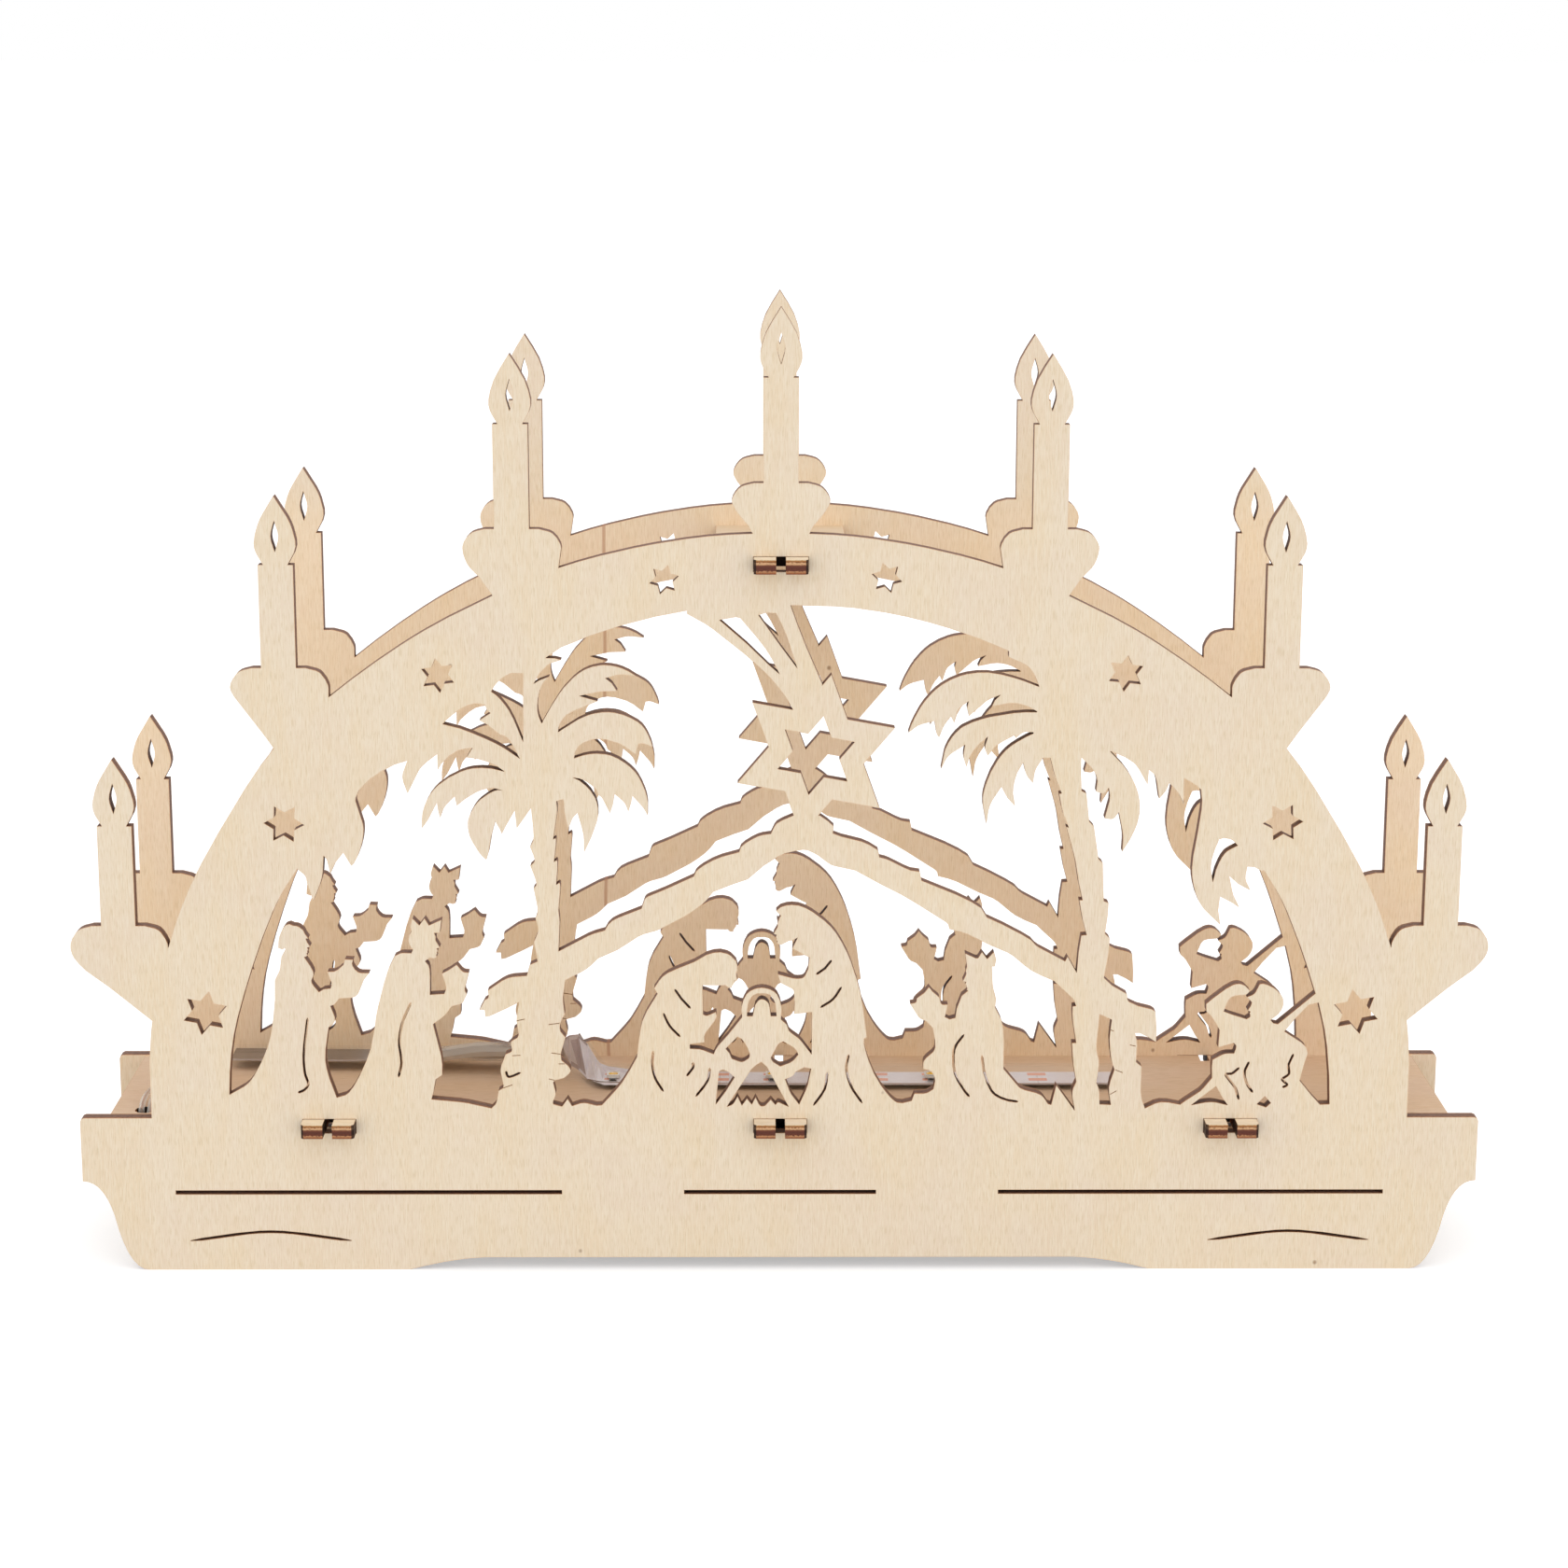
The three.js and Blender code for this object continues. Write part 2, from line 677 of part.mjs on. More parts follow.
function leftFronds() {
  return [
    drawn(
      [-49, 75.2],
      [-48.9, 85.4],
      [-47, 88.7, -44, 93, -40.5, 96, -37, 97.1, -34, 96.9, -31.5, 96, -29.6, 94.8],
      [-33, 95.1, -36, 94.4],
      [-34.7, 93.4, -33.6, 91.7],
      [-37, 91.6, -41.4, 90.7],
      [-39.5, 90.2, -37.6, 89.6],
      [-41, 88.2, -44, 86.7, -45.5, 84.6, -45.8, 83.1],
    ),
    drawn(
      [-49, 75.2],
      [-45.8, 83.1],
      [-41, 86.1, -38, 87.1, -35, 87.3, -32, 86.6, -28.6, 84.6, -26.8, 81.4, -26.4, 80],
      [-28.3, 80.7, -29.3, 80.6],
      [-29.9, 78.4],
      [-33, 80.6, -37, 81.7, -39, 81.5, -41, 80.6, -42.2, 79.2, -42.6, 77.6],
    ),
    drawn(
      [-49, 75.2],
      [-42.6, 77.6],
      [-40, 78.4, -37.5, 78.6, -35, 78.2, -32.5, 76.9, -30, 74.7, -28.3, 71.6, -27.5, 68.7, -27.5, 65.5],
      [-28.3, 67, -30.6, 69.7],
      [-30.9, 68.2, -31.5, 66.3],
      [-32.2, 68.1, -34.3, 70.1],
      [-34.7, 67.7, -35.3, 66],
      [-37, 69.4, -37.7, 69.9],
      [-38.2, 71.2, -39.5, 72.3, -41, 73.2, -43, 73.6],
    ),
    drawn(
      [-49, 75.2],
      [-43, 73.6],
      [-41.5, 72.9, -38.6, 69.8, -37.7, 66, -39, 61.4, -40.75, 57.6],
      [-40.8, 61.2, -42, 66.1],
      [-43, 65, -44, 62.6],
      [-44.7, 66.2, -44.9, 69],
    ),
    drawn(
      [-50, 74.2],
      [-57.3, 70.8],
      [-58.5, 70.9, -60, 70.3, -62.7, 68.2, -64.5, 65, -64.7, 63.2, -64.3, 61, -62, 57, -61, 56.1],
      [-60.5, 57.7, -60, 60.7, -59, 64.3],
      [-58, 62.4, -57.7, 61.6],
      [-57, 63, -54.95, 66.6],
      [-54.8, 65, -54.6, 62.8],
      [-53.8, 63.9, -51.5, 67.2],
    ),
    drawn(
      [-50, 74.2],
      [-57, 74.8],
      [-60, 75.5, -64, 75.4, -68.5, 73.5, -72, 70.5, -74, 66.2, -74.2, 62.8],
      [-72.9, 64.6, -71, 68.2],
      [-70.7, 66.2, -70.4, 65],
      [-69.5, 67.2, -67.3, 69.6],
      [-66.9, 67.6],
      [-65, 69.1, -61.8, 70.9, -59.3, 71.3, -57.3, 70.8],
    ),
    drawn(
      [-92, 76.2],
      [-87.4, 70.1],
      [-87.8, 68.9, -87.2, 66.4, -86.3, 63.2, -86.8, 59.2, -88.4, 55.4, -89, 54.8],
      [-90.1, 56.8, -90.6, 57.6],
      [-92.3, 55.5, -93.4, 53.1],
      [-94.1, 56.2, -94.7, 57],
      [-95.2, 52.2, -97.1, 47.3],
      [-98.2, 50.7, -98.6, 52.6, -100.3, 54.2],
      [-104, 58.2],
    ),
  ];
}

// Where the crown of leaves meets the arch on the left
function leftCrown() {
  return drawn(
    [-49, 75.2],
    [-49.1, 84.8],
    [-49.8, 86.7, -50, 88.7, -49.6, 91.2, -48.7, 93.4, -47.5, 94.7],
    [-49.8, 93.8, -50.7, 93.2],
    [-49.3, 95.5, -47.3, 97.4, -45, 98.2],
    [-46, 98.5, -48.2, 98.6],
    [-46.8, 99.5, -45, 100.8, -40.7, 102.5],
    [-42, 107.2],
    [-75, 92.2],
    [-92, 76.2],
    [-87.4, 70.1],
    [-86.8, 71.2, -84.3, 73.5, -79.5, 76.3, -76.9, 77.1],
    [-78, 73.7, -77, 70.2],
    [-75.8, 72.7, -74, 75.8, -70.7, 78.5],
    [-70.7, 75.1],
    [-69.9, 76.5, -66.5, 79.2, -63.4, 79.8],
    [-64.7, 77.8],
    [-62, 77.4, -58.5, 76, -57, 74.9],
  );
}

function leftCrownCuts() {
  return [
    drawn(
      [-53.7, 77.5],
      [-57, 79.8, -60, 81.4, -66, 83.9, -69.5, 84.8],
      [-68.3, 86, -66, 87.8, -64.5, 88.6, -62.5, 89.1, -60.7, 88.8],
      [-60.3, 87.7, -59.6, 87.1],
      [-61.9, 85.6],
      [-60.3, 84.7, -57.8, 82.6],
      [-56.3, 82, -53.7, 77.5],
    ),
    drawn(
      [-53, 81],
      [-53.6, 82.4, -55.5, 87.1, -58, 90.5, -59.4, 91.6],
      [-58.4, 93.2, -56.5, 94.8, -55.3, 95.4],
      [-52.8, 95.4],
    ),
  ];
}

// Palm tree on the right

function rightTrunk() {
  return drawn(
    [62.2, -1.8],
    [62.2, 1.6],
    [61.6, 5.7, 62.4, 7.9],
    [61.7, 11.7, 61.3, 16.4],
    [62.2, 16.4],
    [61.3, 22.2, 61.3, 24.4],
    [62, 24.5],
    [61.5, 25.8, 57.4, 29.8],
    [60, 35.2],
    [62, 31.7],
    [62.3, 36.2, 62.8, 39.8],
    [63.9, 39.9],
    [63, 43.2, 62.2, 47.4],
    [62.9, 47.4],
    [62, 51.2, 61.3, 55.5],
    [60.5, 58.8, 59.2, 63.1],
    [59.7, 62.9],
    [58.4, 66.2, 57.6, 70.1],
    [58.1, 70.2],
    [56.7, 73.7, 55.4, 78.5],
    [56, 82.2],
    [62, 82.2],
    [62, 74.2, 62.2, 70.7],
    [63.2, 70.2],
    [63.9, 64.2],
    [64.9, 63.2],
    [65.6, 58.7, 66, 56.2],
    [66.9, 55.4],
    [67.2, 50.2, 67.3, 47.2],
    [68.3, 46.8],
    [68.2, 44.2, 67.7, 40.2],
    [68.7, 39.2],
    [68.6, 36.2, 67.7, 30.6],
    [69.5, 28.9, 72.6, 27.1],
    [72.9, 25.6, 75, 24.5],
    [78, 23.7, 78.7, 23.2],
    [79, 19.2, 79, 16.6],
    [77.5, 17.6, 75.5, 18.6],
    [74.5, 18.6],
    [75, 16.4, 74.9, 12.2],
    [76.1, 11.2],
    [76.1, 5, 77, 2],
    [77, -1.8],
  );
}

function rightTrunkCuts() {
  return [
    drawn(
      [67, 22.7],
      [69.6, 21.5],
      [69.2, 17.2, 69.8, 12.2, 70.4, 10.6],
      [69.5, 7.7, 69.3, 6.2, 69.8, 2.8],
      [67.4, 2.9],
      [67.2, 6.2, 66.6, 7.7],
      [67.1, 12.2, 66.5, 15.2, 67, 22.7],
    ),
  ];
}

function rightHub() {
  return drawn(
    [54.1, 77.7],
    [62, 77.7],
    [68.1, 79.1],
    [70, 84.2],
    [53, 92.6],
    [52.7, 87.4],
    [52, 82.9],
  );
}

function rightFronds() {
  return [
    drawn(
      [58, 84.2],
      [56, 92.2],
      [53, 92.6],
      [48.5, 94.3, 42.5, 95.6, 37.5, 95.1, 33, 93, 29.5, 89.5, 27, 85, 26.3, 83],
      [28.3, 84.5, 31.6, 85.5],
      [32.1, 82.8, 32.6, 82],
      [33.6, 84.5, 35, 86.4],
      [35.6, 85.2],
      [36.6, 88, 38.6, 89.6],
      [38.3, 88.2, 38.7, 86.5],
      [41, 88.6, 42.5, 89.8, 45.2, 91],
      [44, 89.8, 43.4, 88.5],
      [47.5, 89.2, 50.3, 88.7, 52.7, 87.5],
    ),
    drawn(
      [58, 84.2],
      [52.7, 87.3],
      [50, 87.3, 47, 87, 41.5, 85.9, 37, 83.9, 34.2, 80.2, 33.1, 75.4],
      [34.5, 78, 38, 80.5],
      [37.7, 78, 38.3, 75.8],
      [38.9, 77.7, 40.3, 80, 42.7, 82.2],
      [42.1, 79.7, 42.7, 78.2],
      [44.6, 80.4, 48.2, 82.5],
      [48.4, 81.9],
      [50, 83.1, 52, 83.1],
    ),
    drawn(
      [58, 84.2],
      [52, 82.8],
      [50.5, 82.1, 46.5, 79.4, 43.7, 75.4, 42, 70.7, 41.8, 68.2, 42.6, 63.7],
      [43.3, 67.7, 45.6, 71.6],
      [46.9, 69.2, 48.5, 67.5],
      [48, 70.7, 48.8, 74.5, 50, 76.7],
      [50.8, 74, 52.1, 72.4],
      [52.6, 75.2, 54.1, 77.7],
    ),
    drawn(
      [60, 83.2],
      [68, 79],
      [71.5, 75.1, 73.9, 70.2, 74.2, 65.2, 72.5, 60.5, 70.9, 57.8],
      [71, 61.2, 70, 66.2],
      [68.8, 64.8, 67.1, 64.9],
      [68.1, 69.2, 67.8, 71.4],
      [66.8, 70.2, 65.2, 70.6],
      [65.4, 73.2, 64.5, 75.2, 62, 77.8],
    ),
  ];
}

// Where the crown of leaves meets the arch on the right, with the frond that hangs from the arch
function rightCrown() {
  return drawn(
    [60, 82.2],
    [68.1, 79.1],
    [71.5, 77.6, 73.3, 76.2, 75.8, 72.1],
    [76, 75.2],
    [77.3, 74, 78.3, 69.1],
    [79.6, 70.7, 80.3, 72.4],
    [82.4, 70, 83.6, 67.5],
    [83.3, 71.7, 83.4, 73.4],
    [86, 71.8, 86.9, 71],
    [87.2, 68.2, 86.6, 62.7, 85.5, 54.7, 85.9, 50.7, 87.5, 46.5, 91.7, 42.1],
    [91.2, 45.2, 91.5, 48.2],
    [94, 46.9, 95.6, 45.8],
    [94.3, 48.4, 93.3, 52.6],
    [95.2, 50.9, 97.8, 49.5],
    [96.7, 52, 97, 54.6],
    [98.5, 54.5, 100.1, 53.6],
    [105, 56.2],
    [86, 84.2],
    [60, 99.2],
    [46.7, 103.2],
    [46.7, 98.8],
    [50.5, 97, 52, 95.2, 53, 92.7],
    [56, 86.2],
  );
}

function rightCrownCuts() {
  return [
    drawn(
      [89.9, 51.2],
      [89.4, 54.7, 89.8, 57.2, 91, 60.5],
      [92, 60.7, 93.5, 60.4, 94.9, 59.1],
      [92.3, 57.5, 90.5, 53.9, 89.9, 51.2],
    ),
  ];
}

// Figures

// Head in profile with a plain face of even proportions: brow, nose and chin divide the face in thirds
function headOutline(x, z, height, facing, tilt) {
  const profile = runs(
    [-0.1, -0.36],
    [-0.34, -0.2, -0.43, 0.06, -0.3, 0.36, -0.02, 0.5, 0.24, 0.38, 0.35, 0.14],
    [0.34, 0.06, 0.4, -0.08, 0.46, -0.17],
    [0.37, -0.2],
    [0.4, -0.27],
    [0.37, -0.31],
    [0.38, -0.35],
    [0.35, -0.39],
    [0.37, -0.45, 0.28, -0.5, 0.18, -0.47, 0.02, -0.38],
  );
  const centre = new THREE.Vector2(across(x), upward(z));
  return profile.map((point) => {
    const turned = new THREE.Vector2(point.x, point.y).rotateAround(new THREE.Vector2(), -tilt);
    return new THREE.Vector2(facing * turned.x, turned.y).multiplyScalar(height).add(centre);
  });
}

function standingKing() {
  return [
    drawn(
      [-118, -1.8],
      [-118, 4.2],
      [-115.4, 5.4],
      [-112, 7.6, -110, 10.4, -107.2, 16.9, -105.8, 25.2, -105.6, 30.2],
      [-104.6, 32.2, -104.1, 35.2],
      [-103, 37.2],
      [-100, 37.2],
      [-99.5, 35.4],
      [-97.5, 31.7, -98, 29.8, -96.5, 27.6],
      [-95.5, 28.2, -94, 28.4],
      [-93.8, 29.4, -94.6, 32],
      [-93, 32.1, -91.2, 33.5],
      [-90.9, 34.7],
      [-89.2, 34.6],
      [-89.4, 33.5, -88.2, 31.9, -85.9, 31.7],
      [-87.1, 30.2, -88.8, 26.7, -92.3, 26.2],
      [-93.3, 24.9, -94.2, 24.6],
      [-93.3, 21.4, -94.7, 19.9],
      [-95.6, 13.2, -95, 9.4, -93.4, 4.5],
      [-90, -1.8],
    ),
    headOutline(-101.2, 38.6, 6.8, 1, 0),
    drawn(
      [-103.8, 36.8],
      [-104.7, 37.2],
      [-104.4, 39.6, -103.2, 41.9, -102.2, 42.3, -101.2, 41.8],
      [-100.9, 41, -99.2, 40.3, -98.4, 39.2],
      [-101.5, 39.2],
    ),
  ];
}

function crownedKing() {
  return [
    drawn(
      [-95, -1.8],
      [-93.4, 4.5],
      [-91.3, 5.2, -89.5, 7.4, -86.2, 14.6, -85, 20],
      [-84.5, 23.2, -82, 32.2, -80.5, 35.4],
      [-79.2, 36, -77, 36],
      [-76, 38.2],
      [-73.5, 37.2],
      [-72.7, 35.4],
      [-74.2, 34.3],
      [-73.4, 33.2, -73.3, 27],
      [-70.3, 27.2],
      [-69.9, 28.5, -70.7, 31.6],
      [-69.2, 32.4, -67.6, 33.5],
      [-66.3, 32, -65.1, 31.8],
      [-66, 28, -65.6, 27.1],
      [-66.6, 25.2, -68.8, 24.5],
      [-70.2, 22.6, -72.8, 20.6],
      [-71.1, 12.7, -71.1, 9.5],
      [-72.5, 8.5],
      [-73.1, 5.4, -73.5, 4],
      [-72, -1.8],
    ),
    headOutline(-74.4, 38.5, 7.3, 1, 0),
    crownOutline(-74, 40.4, 1),
  ];
}

// Crown with three points on a band
function crownOutline(x, z, facing) {
  const corners = [
    [-2.8, 0],
    [3, 0],
    [3.4, 2.8],
    [0.8, 1.6],
    [-0.1, 3.1],
    [-1.2, 1.6],
    [-2.6, 3.1],
    [-3.1, 1.4],
  ];
  return corners.map(([side, up]) => new THREE.Vector2(across(x) + facing * side, upward(z) + up));
}

function bowedFigure() {
  return [
    drawn(
      [-38, -1.8],
      [-37.6, 2.8],
      [-33.5, 7.5, -32, 9.9, -30.1, 13.4],
      [-29.7, 17.2, -28.7, 21.9, -25.7, 27.2],
      [-26.4, 28.4],
      [-24.3, 31.2, -18, 34.1, -15, 35.8, -12.5, 36.2, -10.6, 35.6, -9.2, 34.2],
      [-11.5, 31.7],
      [-11.6, 29],
      [-16.3, 29.1],
      [-16.2, 22.7],
      [-15.5, 22.4, -13.5, 23.2],
      [-13.4, 22, -15.9, 18.2, -15.9, 16.6],
      [-19, 16.2],
      [-19, 15.2],
      [-17, 15.1, -14, 14],
      [-12, -1.8],
    ),
    headOutline(-11.4, 32.1, 6.4, 1, 0.35),
  ];
}

function cribAndChild() {
  return [
    drawn(
      [-16, -1.8],
      [-14, 14],
      [-13.3, 15.5, -11, 18.2, -8, 22.1],
      [-8.1, 24.5, -6.8, 27.4, -3.9, 28.5, -1, 27.4, 0.2, 24.5, 0.1, 21.6],
      [1.3, 20.5, 1.8, 19.1, 3.8, 17.5, 6.6, 13.9],
      [9, -1.8],
    ),
  ];
}

function cribCuts() {
  return [
    drawn(
      [-7, 22.3],
      [-6.9, 24.2, -6.5, 25.7, -5.5, 27, -4, 27.3, -2.3, 27, -1.2, 25.5, -0.8, 22.3],
      [-2, 22.3],
      [-2.6, 25.3, -4, 26, -5.1, 25.1, -5.8, 22.3],
    ),
    drawn(
      [-13.6, 2.9],
      [-13.4, 5.2, -12.9, 10.2],
      [-12.2, 10.6, -11, 10.2, -9.6, 8.9],
      [-11.5, 5.8, -13.6, 2.9],
    ),
    drawn(
      [-4, 12.3],
      [-5.8, 11, -8.3, 7.2, -11.3, 2.4],
      [-10, 3, -9, 4.7],
      [-8.1, 2.7],
      [-7, 4.2],
      [-6, 2.9],
      [-5.2, 4.5],
      [-4.2, 2.6, -3.3, 2.6, -2, 4],
      [-1, 2.8],
      [-0.5, 3.4, 1.8, 2.4],
      [-0.5, 6.7, -2.8, 11.2],
    ),
    drawn([4, 2.9], [2.3, 5.2, 1, 8.5], [2.6, 9.2, 3.2, 10.1], [5, 11.1], [6.5, 10.8], [5.8, 7.2, 4, 2.9]),
    drawn(
      [-9, 17.8],
      [-10.3, 16.4, -11.5, 15.2],
      [-10.7, 14.2, -10.2, 13],
      [-8, 12.3, -6.6, 13.1],
      [-6.4, 13.9, -7.3, 16.2, -8.2, 17.4],
    ),
    drawn(
      [0.6, 16.8],
      [-0.3, 16.3, -2, 13.2],
      [-1.6, 12.4, 0, 11.3],
      [2.5, 12.4, 3.8, 13.9],
      [3.1, 15.2, 0.6, 16.8],
    ),
  ];
}

function veiledFigure() {
  return [
    drawn(
      [4, -1.8],
      [6.6, 13.9],
      [6.6, 23.2],
      [2.9, 22.8],
      [3, 25.2, 2.8, 28.1],
      [0, 29.6],
      [-0.5, 31.4],
      [3, 30.5, 4.8, 30.7, 5.8, 32.5],
      [6.1, 35.1],
      [5, 35.6],
      [2.5, 37],
      [4, 40.2],
      [1, 43.2],
      [-0.9, 45.1],
      [0.2, 46, 2.8, 46.4, 5.3, 45.7, 10.5, 41.7, 13.6, 36.8, 16, 30.2, 17.2, 25, 18.2, 17.6],
      [17.6, 17.4],
      [17.6, 16.2, 18.7, 12.2, 20.7, 7.9, 24.2, 3.6, 25.5, 3.2, 27.7, 3.7],
      [28.3, 5.3],
      [30.8, 5.4, 32.3, 6.3],
      [34, -1.8],
    ),
    headOutline(1.9, 41.4, 7.2, -1, 0),
  ];
}

function kneelingKing() {
  return [
    drawn(
      [31, -1.8],
      [32.3, 6.3],
      [32.6, 8.7, 31.5, 10.4, 30.1, 10.7],
      [30.2, 12.5, 32.3, 14.7, 32.6, 16, 32, 19.7],
      [30.6, 21.2, 29.2, 21.9, 27.2, 25],
      [28.4, 25.3, 28.6, 26.2],
      [30.2, 27.4, 31.1, 28.6],
      [31.7, 27.8, 33.3, 26.4],
      [33.8, 24.9, 35.1, 24.8],
      [34.7, 23.2, 34.5, 22.1],
      [35.5, 21.6, 36.7, 21.9],
      [37, 24, 38, 26.7],
      [40, 28.4],
      [40, 32.2],
      [44.2, 33.2],
      [44.5, 28.7, 45.2, 26, 45, 24.2],
      [46.3, 21.6, 46.9, 18.7, 47, 10.7],
      [48.5, 8.9, 50.6, 6.5, 54, 5.4],
      [55.2, 4.8, 56.5, 3],
      [57.2, 2.8],
      [58.2, 7.1],
      [59.5, 5.3, 62.1, 1.5],
      [62.2, -1.8],
    ),
    headOutline(41.3, 31.4, 7, -1, 0.1),
    crownOutline(42, 33.1, -1),
  ];
}

function shepherd() {
  return [
    drawn(
      [86, -1.8],
      [84.5, 2.9],
      [86, 4, 88.5, 5.7, 91, 8.7],
      [90.9, 11.2, 91, 12.7],
      [93.5, 14, 95.5, 14.1],
      [95.9, 15.8, 95.4, 16.4],
      [92.1, 15.4],
      [92.3, 19.2],
      [90.5, 22.2, 89.4, 23.2],
      [89.3, 24.9],
      [91.5, 26.8, 94.5, 28.9, 96, 29.3, 97.3, 28.9, 98.4, 27.8],
      [97.7, 27, 94.5, 26.4, 93, 23.3],
      [94.2, 22.8, 97.9, 21.6],
      [99.5, 22.7],
      [99.5, 24.7],
      [97.8, 26.4],
      [99.3, 27.1, 100.4, 29.2],
      [101.3, 29.3, 104, 27.9, 105.5, 25.7, 104.9, 23.2, 102.9, 21.4],
      [103.5, 20.7, 104.5, 20.5],
      [108, 23.5, 112.2, 27.2],
      [116, 28.2],
      [118, -1.8],
    ),
    headOutline(101.1, 24.6, 6.6, -1, 0),
  ];
}

function shepherdCuts() {
  return [
    drawn(
      [112.9, 25.2],
      [114.6, 18.2, 115.7, 9.2, 116, 2.9],
      [114, 2.8],
      [112.5, 4.4, 109.5, 8.1],
      [110.2, 11.2, 111, 14.1],
      [110.5, 15.6, 105.9, 18.9],
      [107.4, 20.9, 110.8, 24.7],
    ),
    drawn([86.7, 2.7], [88.5, 4.2, 91.9, 6.9], [93.3, 4.4, 94.5, 2.7], [91, 3.4, 86.7, 2.7]),
    drawn([100.6, 2.9], [102.3, 4.7], [103.6, 3.2], [102.6, 2.2]),
  ];
}

// Cut lines that mark folds of cloth and rings of bark
function foldCuts() {
  return [
    [-57.7, 10.3, -57.2, 9.1, -54.6, 10],
    [-58.3, 6.6, -56.4, 7.3],
    [-56.3, 13.7, -54.6, 13.8],
    [-55.4, 21.3, -53.6, 21.7],
    [-48.6, 20.5, -46.3, 20.8],
    [-48.1, 14.3, -46, 14],
    [-46.6, 11.9, -45.3, 11.9],
    [-48.7, 8.6, -47.5, 8.3],
    [-99, 22, -99.5, 18.7, -100.1, 13.7, -99.9, 9.7, -99.3, 7.4, -100.2, 6.2, -101.5, 5.6],
    [-77.3, 25.4, -79.3, 20.7, -80, 16.5, -79.6, 12.2, -80.3, 9],
    [-22.1, 28.2, -20.7, 26.1, -18.8, 24],
    [-24.5, 23, -23.2, 20.2, -21, 17.8],
    [-26.7, 14.7, -26.9, 11.7, -26.3, 8.7, -24.6, 5.8],
    [-18.4, 12.2, -18.3, 11.2, -19.7, 9.2],
    [-14.8, 11, -15.3, 8.2, -17.8, 4.7],
    [10.7, 34.5, 9.3, 32.7, 7.5, 31.4],
    [12.8, 28.7, 11, 26, 8.4, 24.2],
    [14.4, 13.9, 13.9, 11, 14.9, 7, 17.3, 3.2],
    [9.9, 10, 9.4, 6.4, 7, 2.7],
    [38.6, 18.3, 36.8, 15.7, 36.4, 13.7, 36.8, 9.7, 38.5, 6.4, 39.9, 4.6],
    [42.4, 13.7, 43.1, 9.5, 44.9, 5.5, 47.5, 4, 50.2, 3.5],
    [70.6, 10.5, 72.1, 9.9],
    [69.6, 5.1, 70.9, 5.9],
    [69, 19.5, 70, 19],
    [73.5, 16, 74.7, 15.7],
    [89.5, 23.2, 87.6, 23, 89.9, 19.7, 90.4, 17.6],
    [96.7, 11, 95.2, 9.7, 93.9, 9.5, 96, 6.5, 96.8, 3.9],
    [98.7, 12.3, 97.8, 10, 98.5, 7.2, 99.7, 5.5],
    [108, 14, 107, 11.4, 107.2, 9.6, 105.8, 8.4, 106.9, 7.2, 105.9, 6.6],
  ].map((numbers) => drawnSlit(numbers));
}

// Panel

const floorMiddleZ = floorTop - ply / 2;
const strutMiddleZ = strutTop - ply / 2;

function tabHoles() {
  const wide = tabWidth + 2 * slotPlay;
  const high = ply + 2 * slotPlay;
  return [
    ...[-tabPitch, 0, tabPitch].map((x) => rectangle(x, floorMiddleZ, wide, high)),
    rectangle(0, strutMiddleZ, wide, high),
  ];
}

function panelGeometry() {
  const parts = [
    baseOutline(),
    ...archOutlines(),
    groundOutline(),
    ...candleParts(),
    roofOutline(),
    ...cometParts(),
    leftTrunk(),
    leftHub(),
    ...leftFronds(),
    leftCrown(),
    rightTrunk(),
    rightHub(),
    ...rightFronds(),
    rightCrown(),
    ...standingKing(),
    ...crownedKing(),
    ...bowedFigure(),
    ...cribAndChild(),
    ...veiledFigure(),
    ...kneelingKing(),
    ...shepherd(),
  ];
  const cuts = [
    ...baseCuts(),
    ...tabHoles(),
    ...archStarCuts(),
    ...candleCuts(),
    ...cometCuts(),
    ...leftCrownCuts(),
    ...rightCrownCuts(),
    ...rightTrunkCuts(),
    ...cribCuts(),
    ...shepherdCuts(),
    ...foldCuts(),
  ];
  return fretwork(parts, cuts);
}

// Flat plates that join the panels: outline seen from above, x to the right and y to the back

// Split tab that stands out from y = 0 towards -y, as corners from left to right
function tabCorners(x) {
  const half = tabWidth / 2;
  const end = -ply - tabReach;
  return [
    [x - half, 0],
    [x - half, end + tabCorner],
    [x - half + tabCorner, end],
    [x - tabSlit / 2, end],
    [x - tabSlit / 2, end + tabSlitDepth],
    [x + tabSlit / 2, end + tabSlitDepth],
    [x + tabSlit / 2, end],
    [x + half - tabCorner, end],
    [x + half, end + tabCorner],
    [x + half, 0],
  ];
}

function plateWithTabs(halfLength, tabs, holes) {
  const front = tabs.flatMap(tabCorners);
  const back = front.map(([x, y]) => [x, roomDepth - y]).reverse();
  const corners = [[-halfLength, 0], ...front, [halfLength, 0], [halfLength, roomDepth], ...back];
  const outline = [...corners, [-halfLength, roomDepth]].map(([x, y]) => new THREE.Vector2(x, y));
  const shape = new THREE.Shape(outline);
  shape.holes = holes;
  return new THREE.ExtrudeGeometry(shape, { depth: ply, bevelEnabled: false, curveSegments: 7 });
}

function floorGeometry() {
  const hole = new THREE.Path();
  hole.absarc(leadHoleX, leadHoleY, leadHole / 2, 0, 2 * Math.PI, true);
  return plateWithTabs(floorHalf, [-tabPitch, 0, tabPitch], [hole]);
}

// Light strip

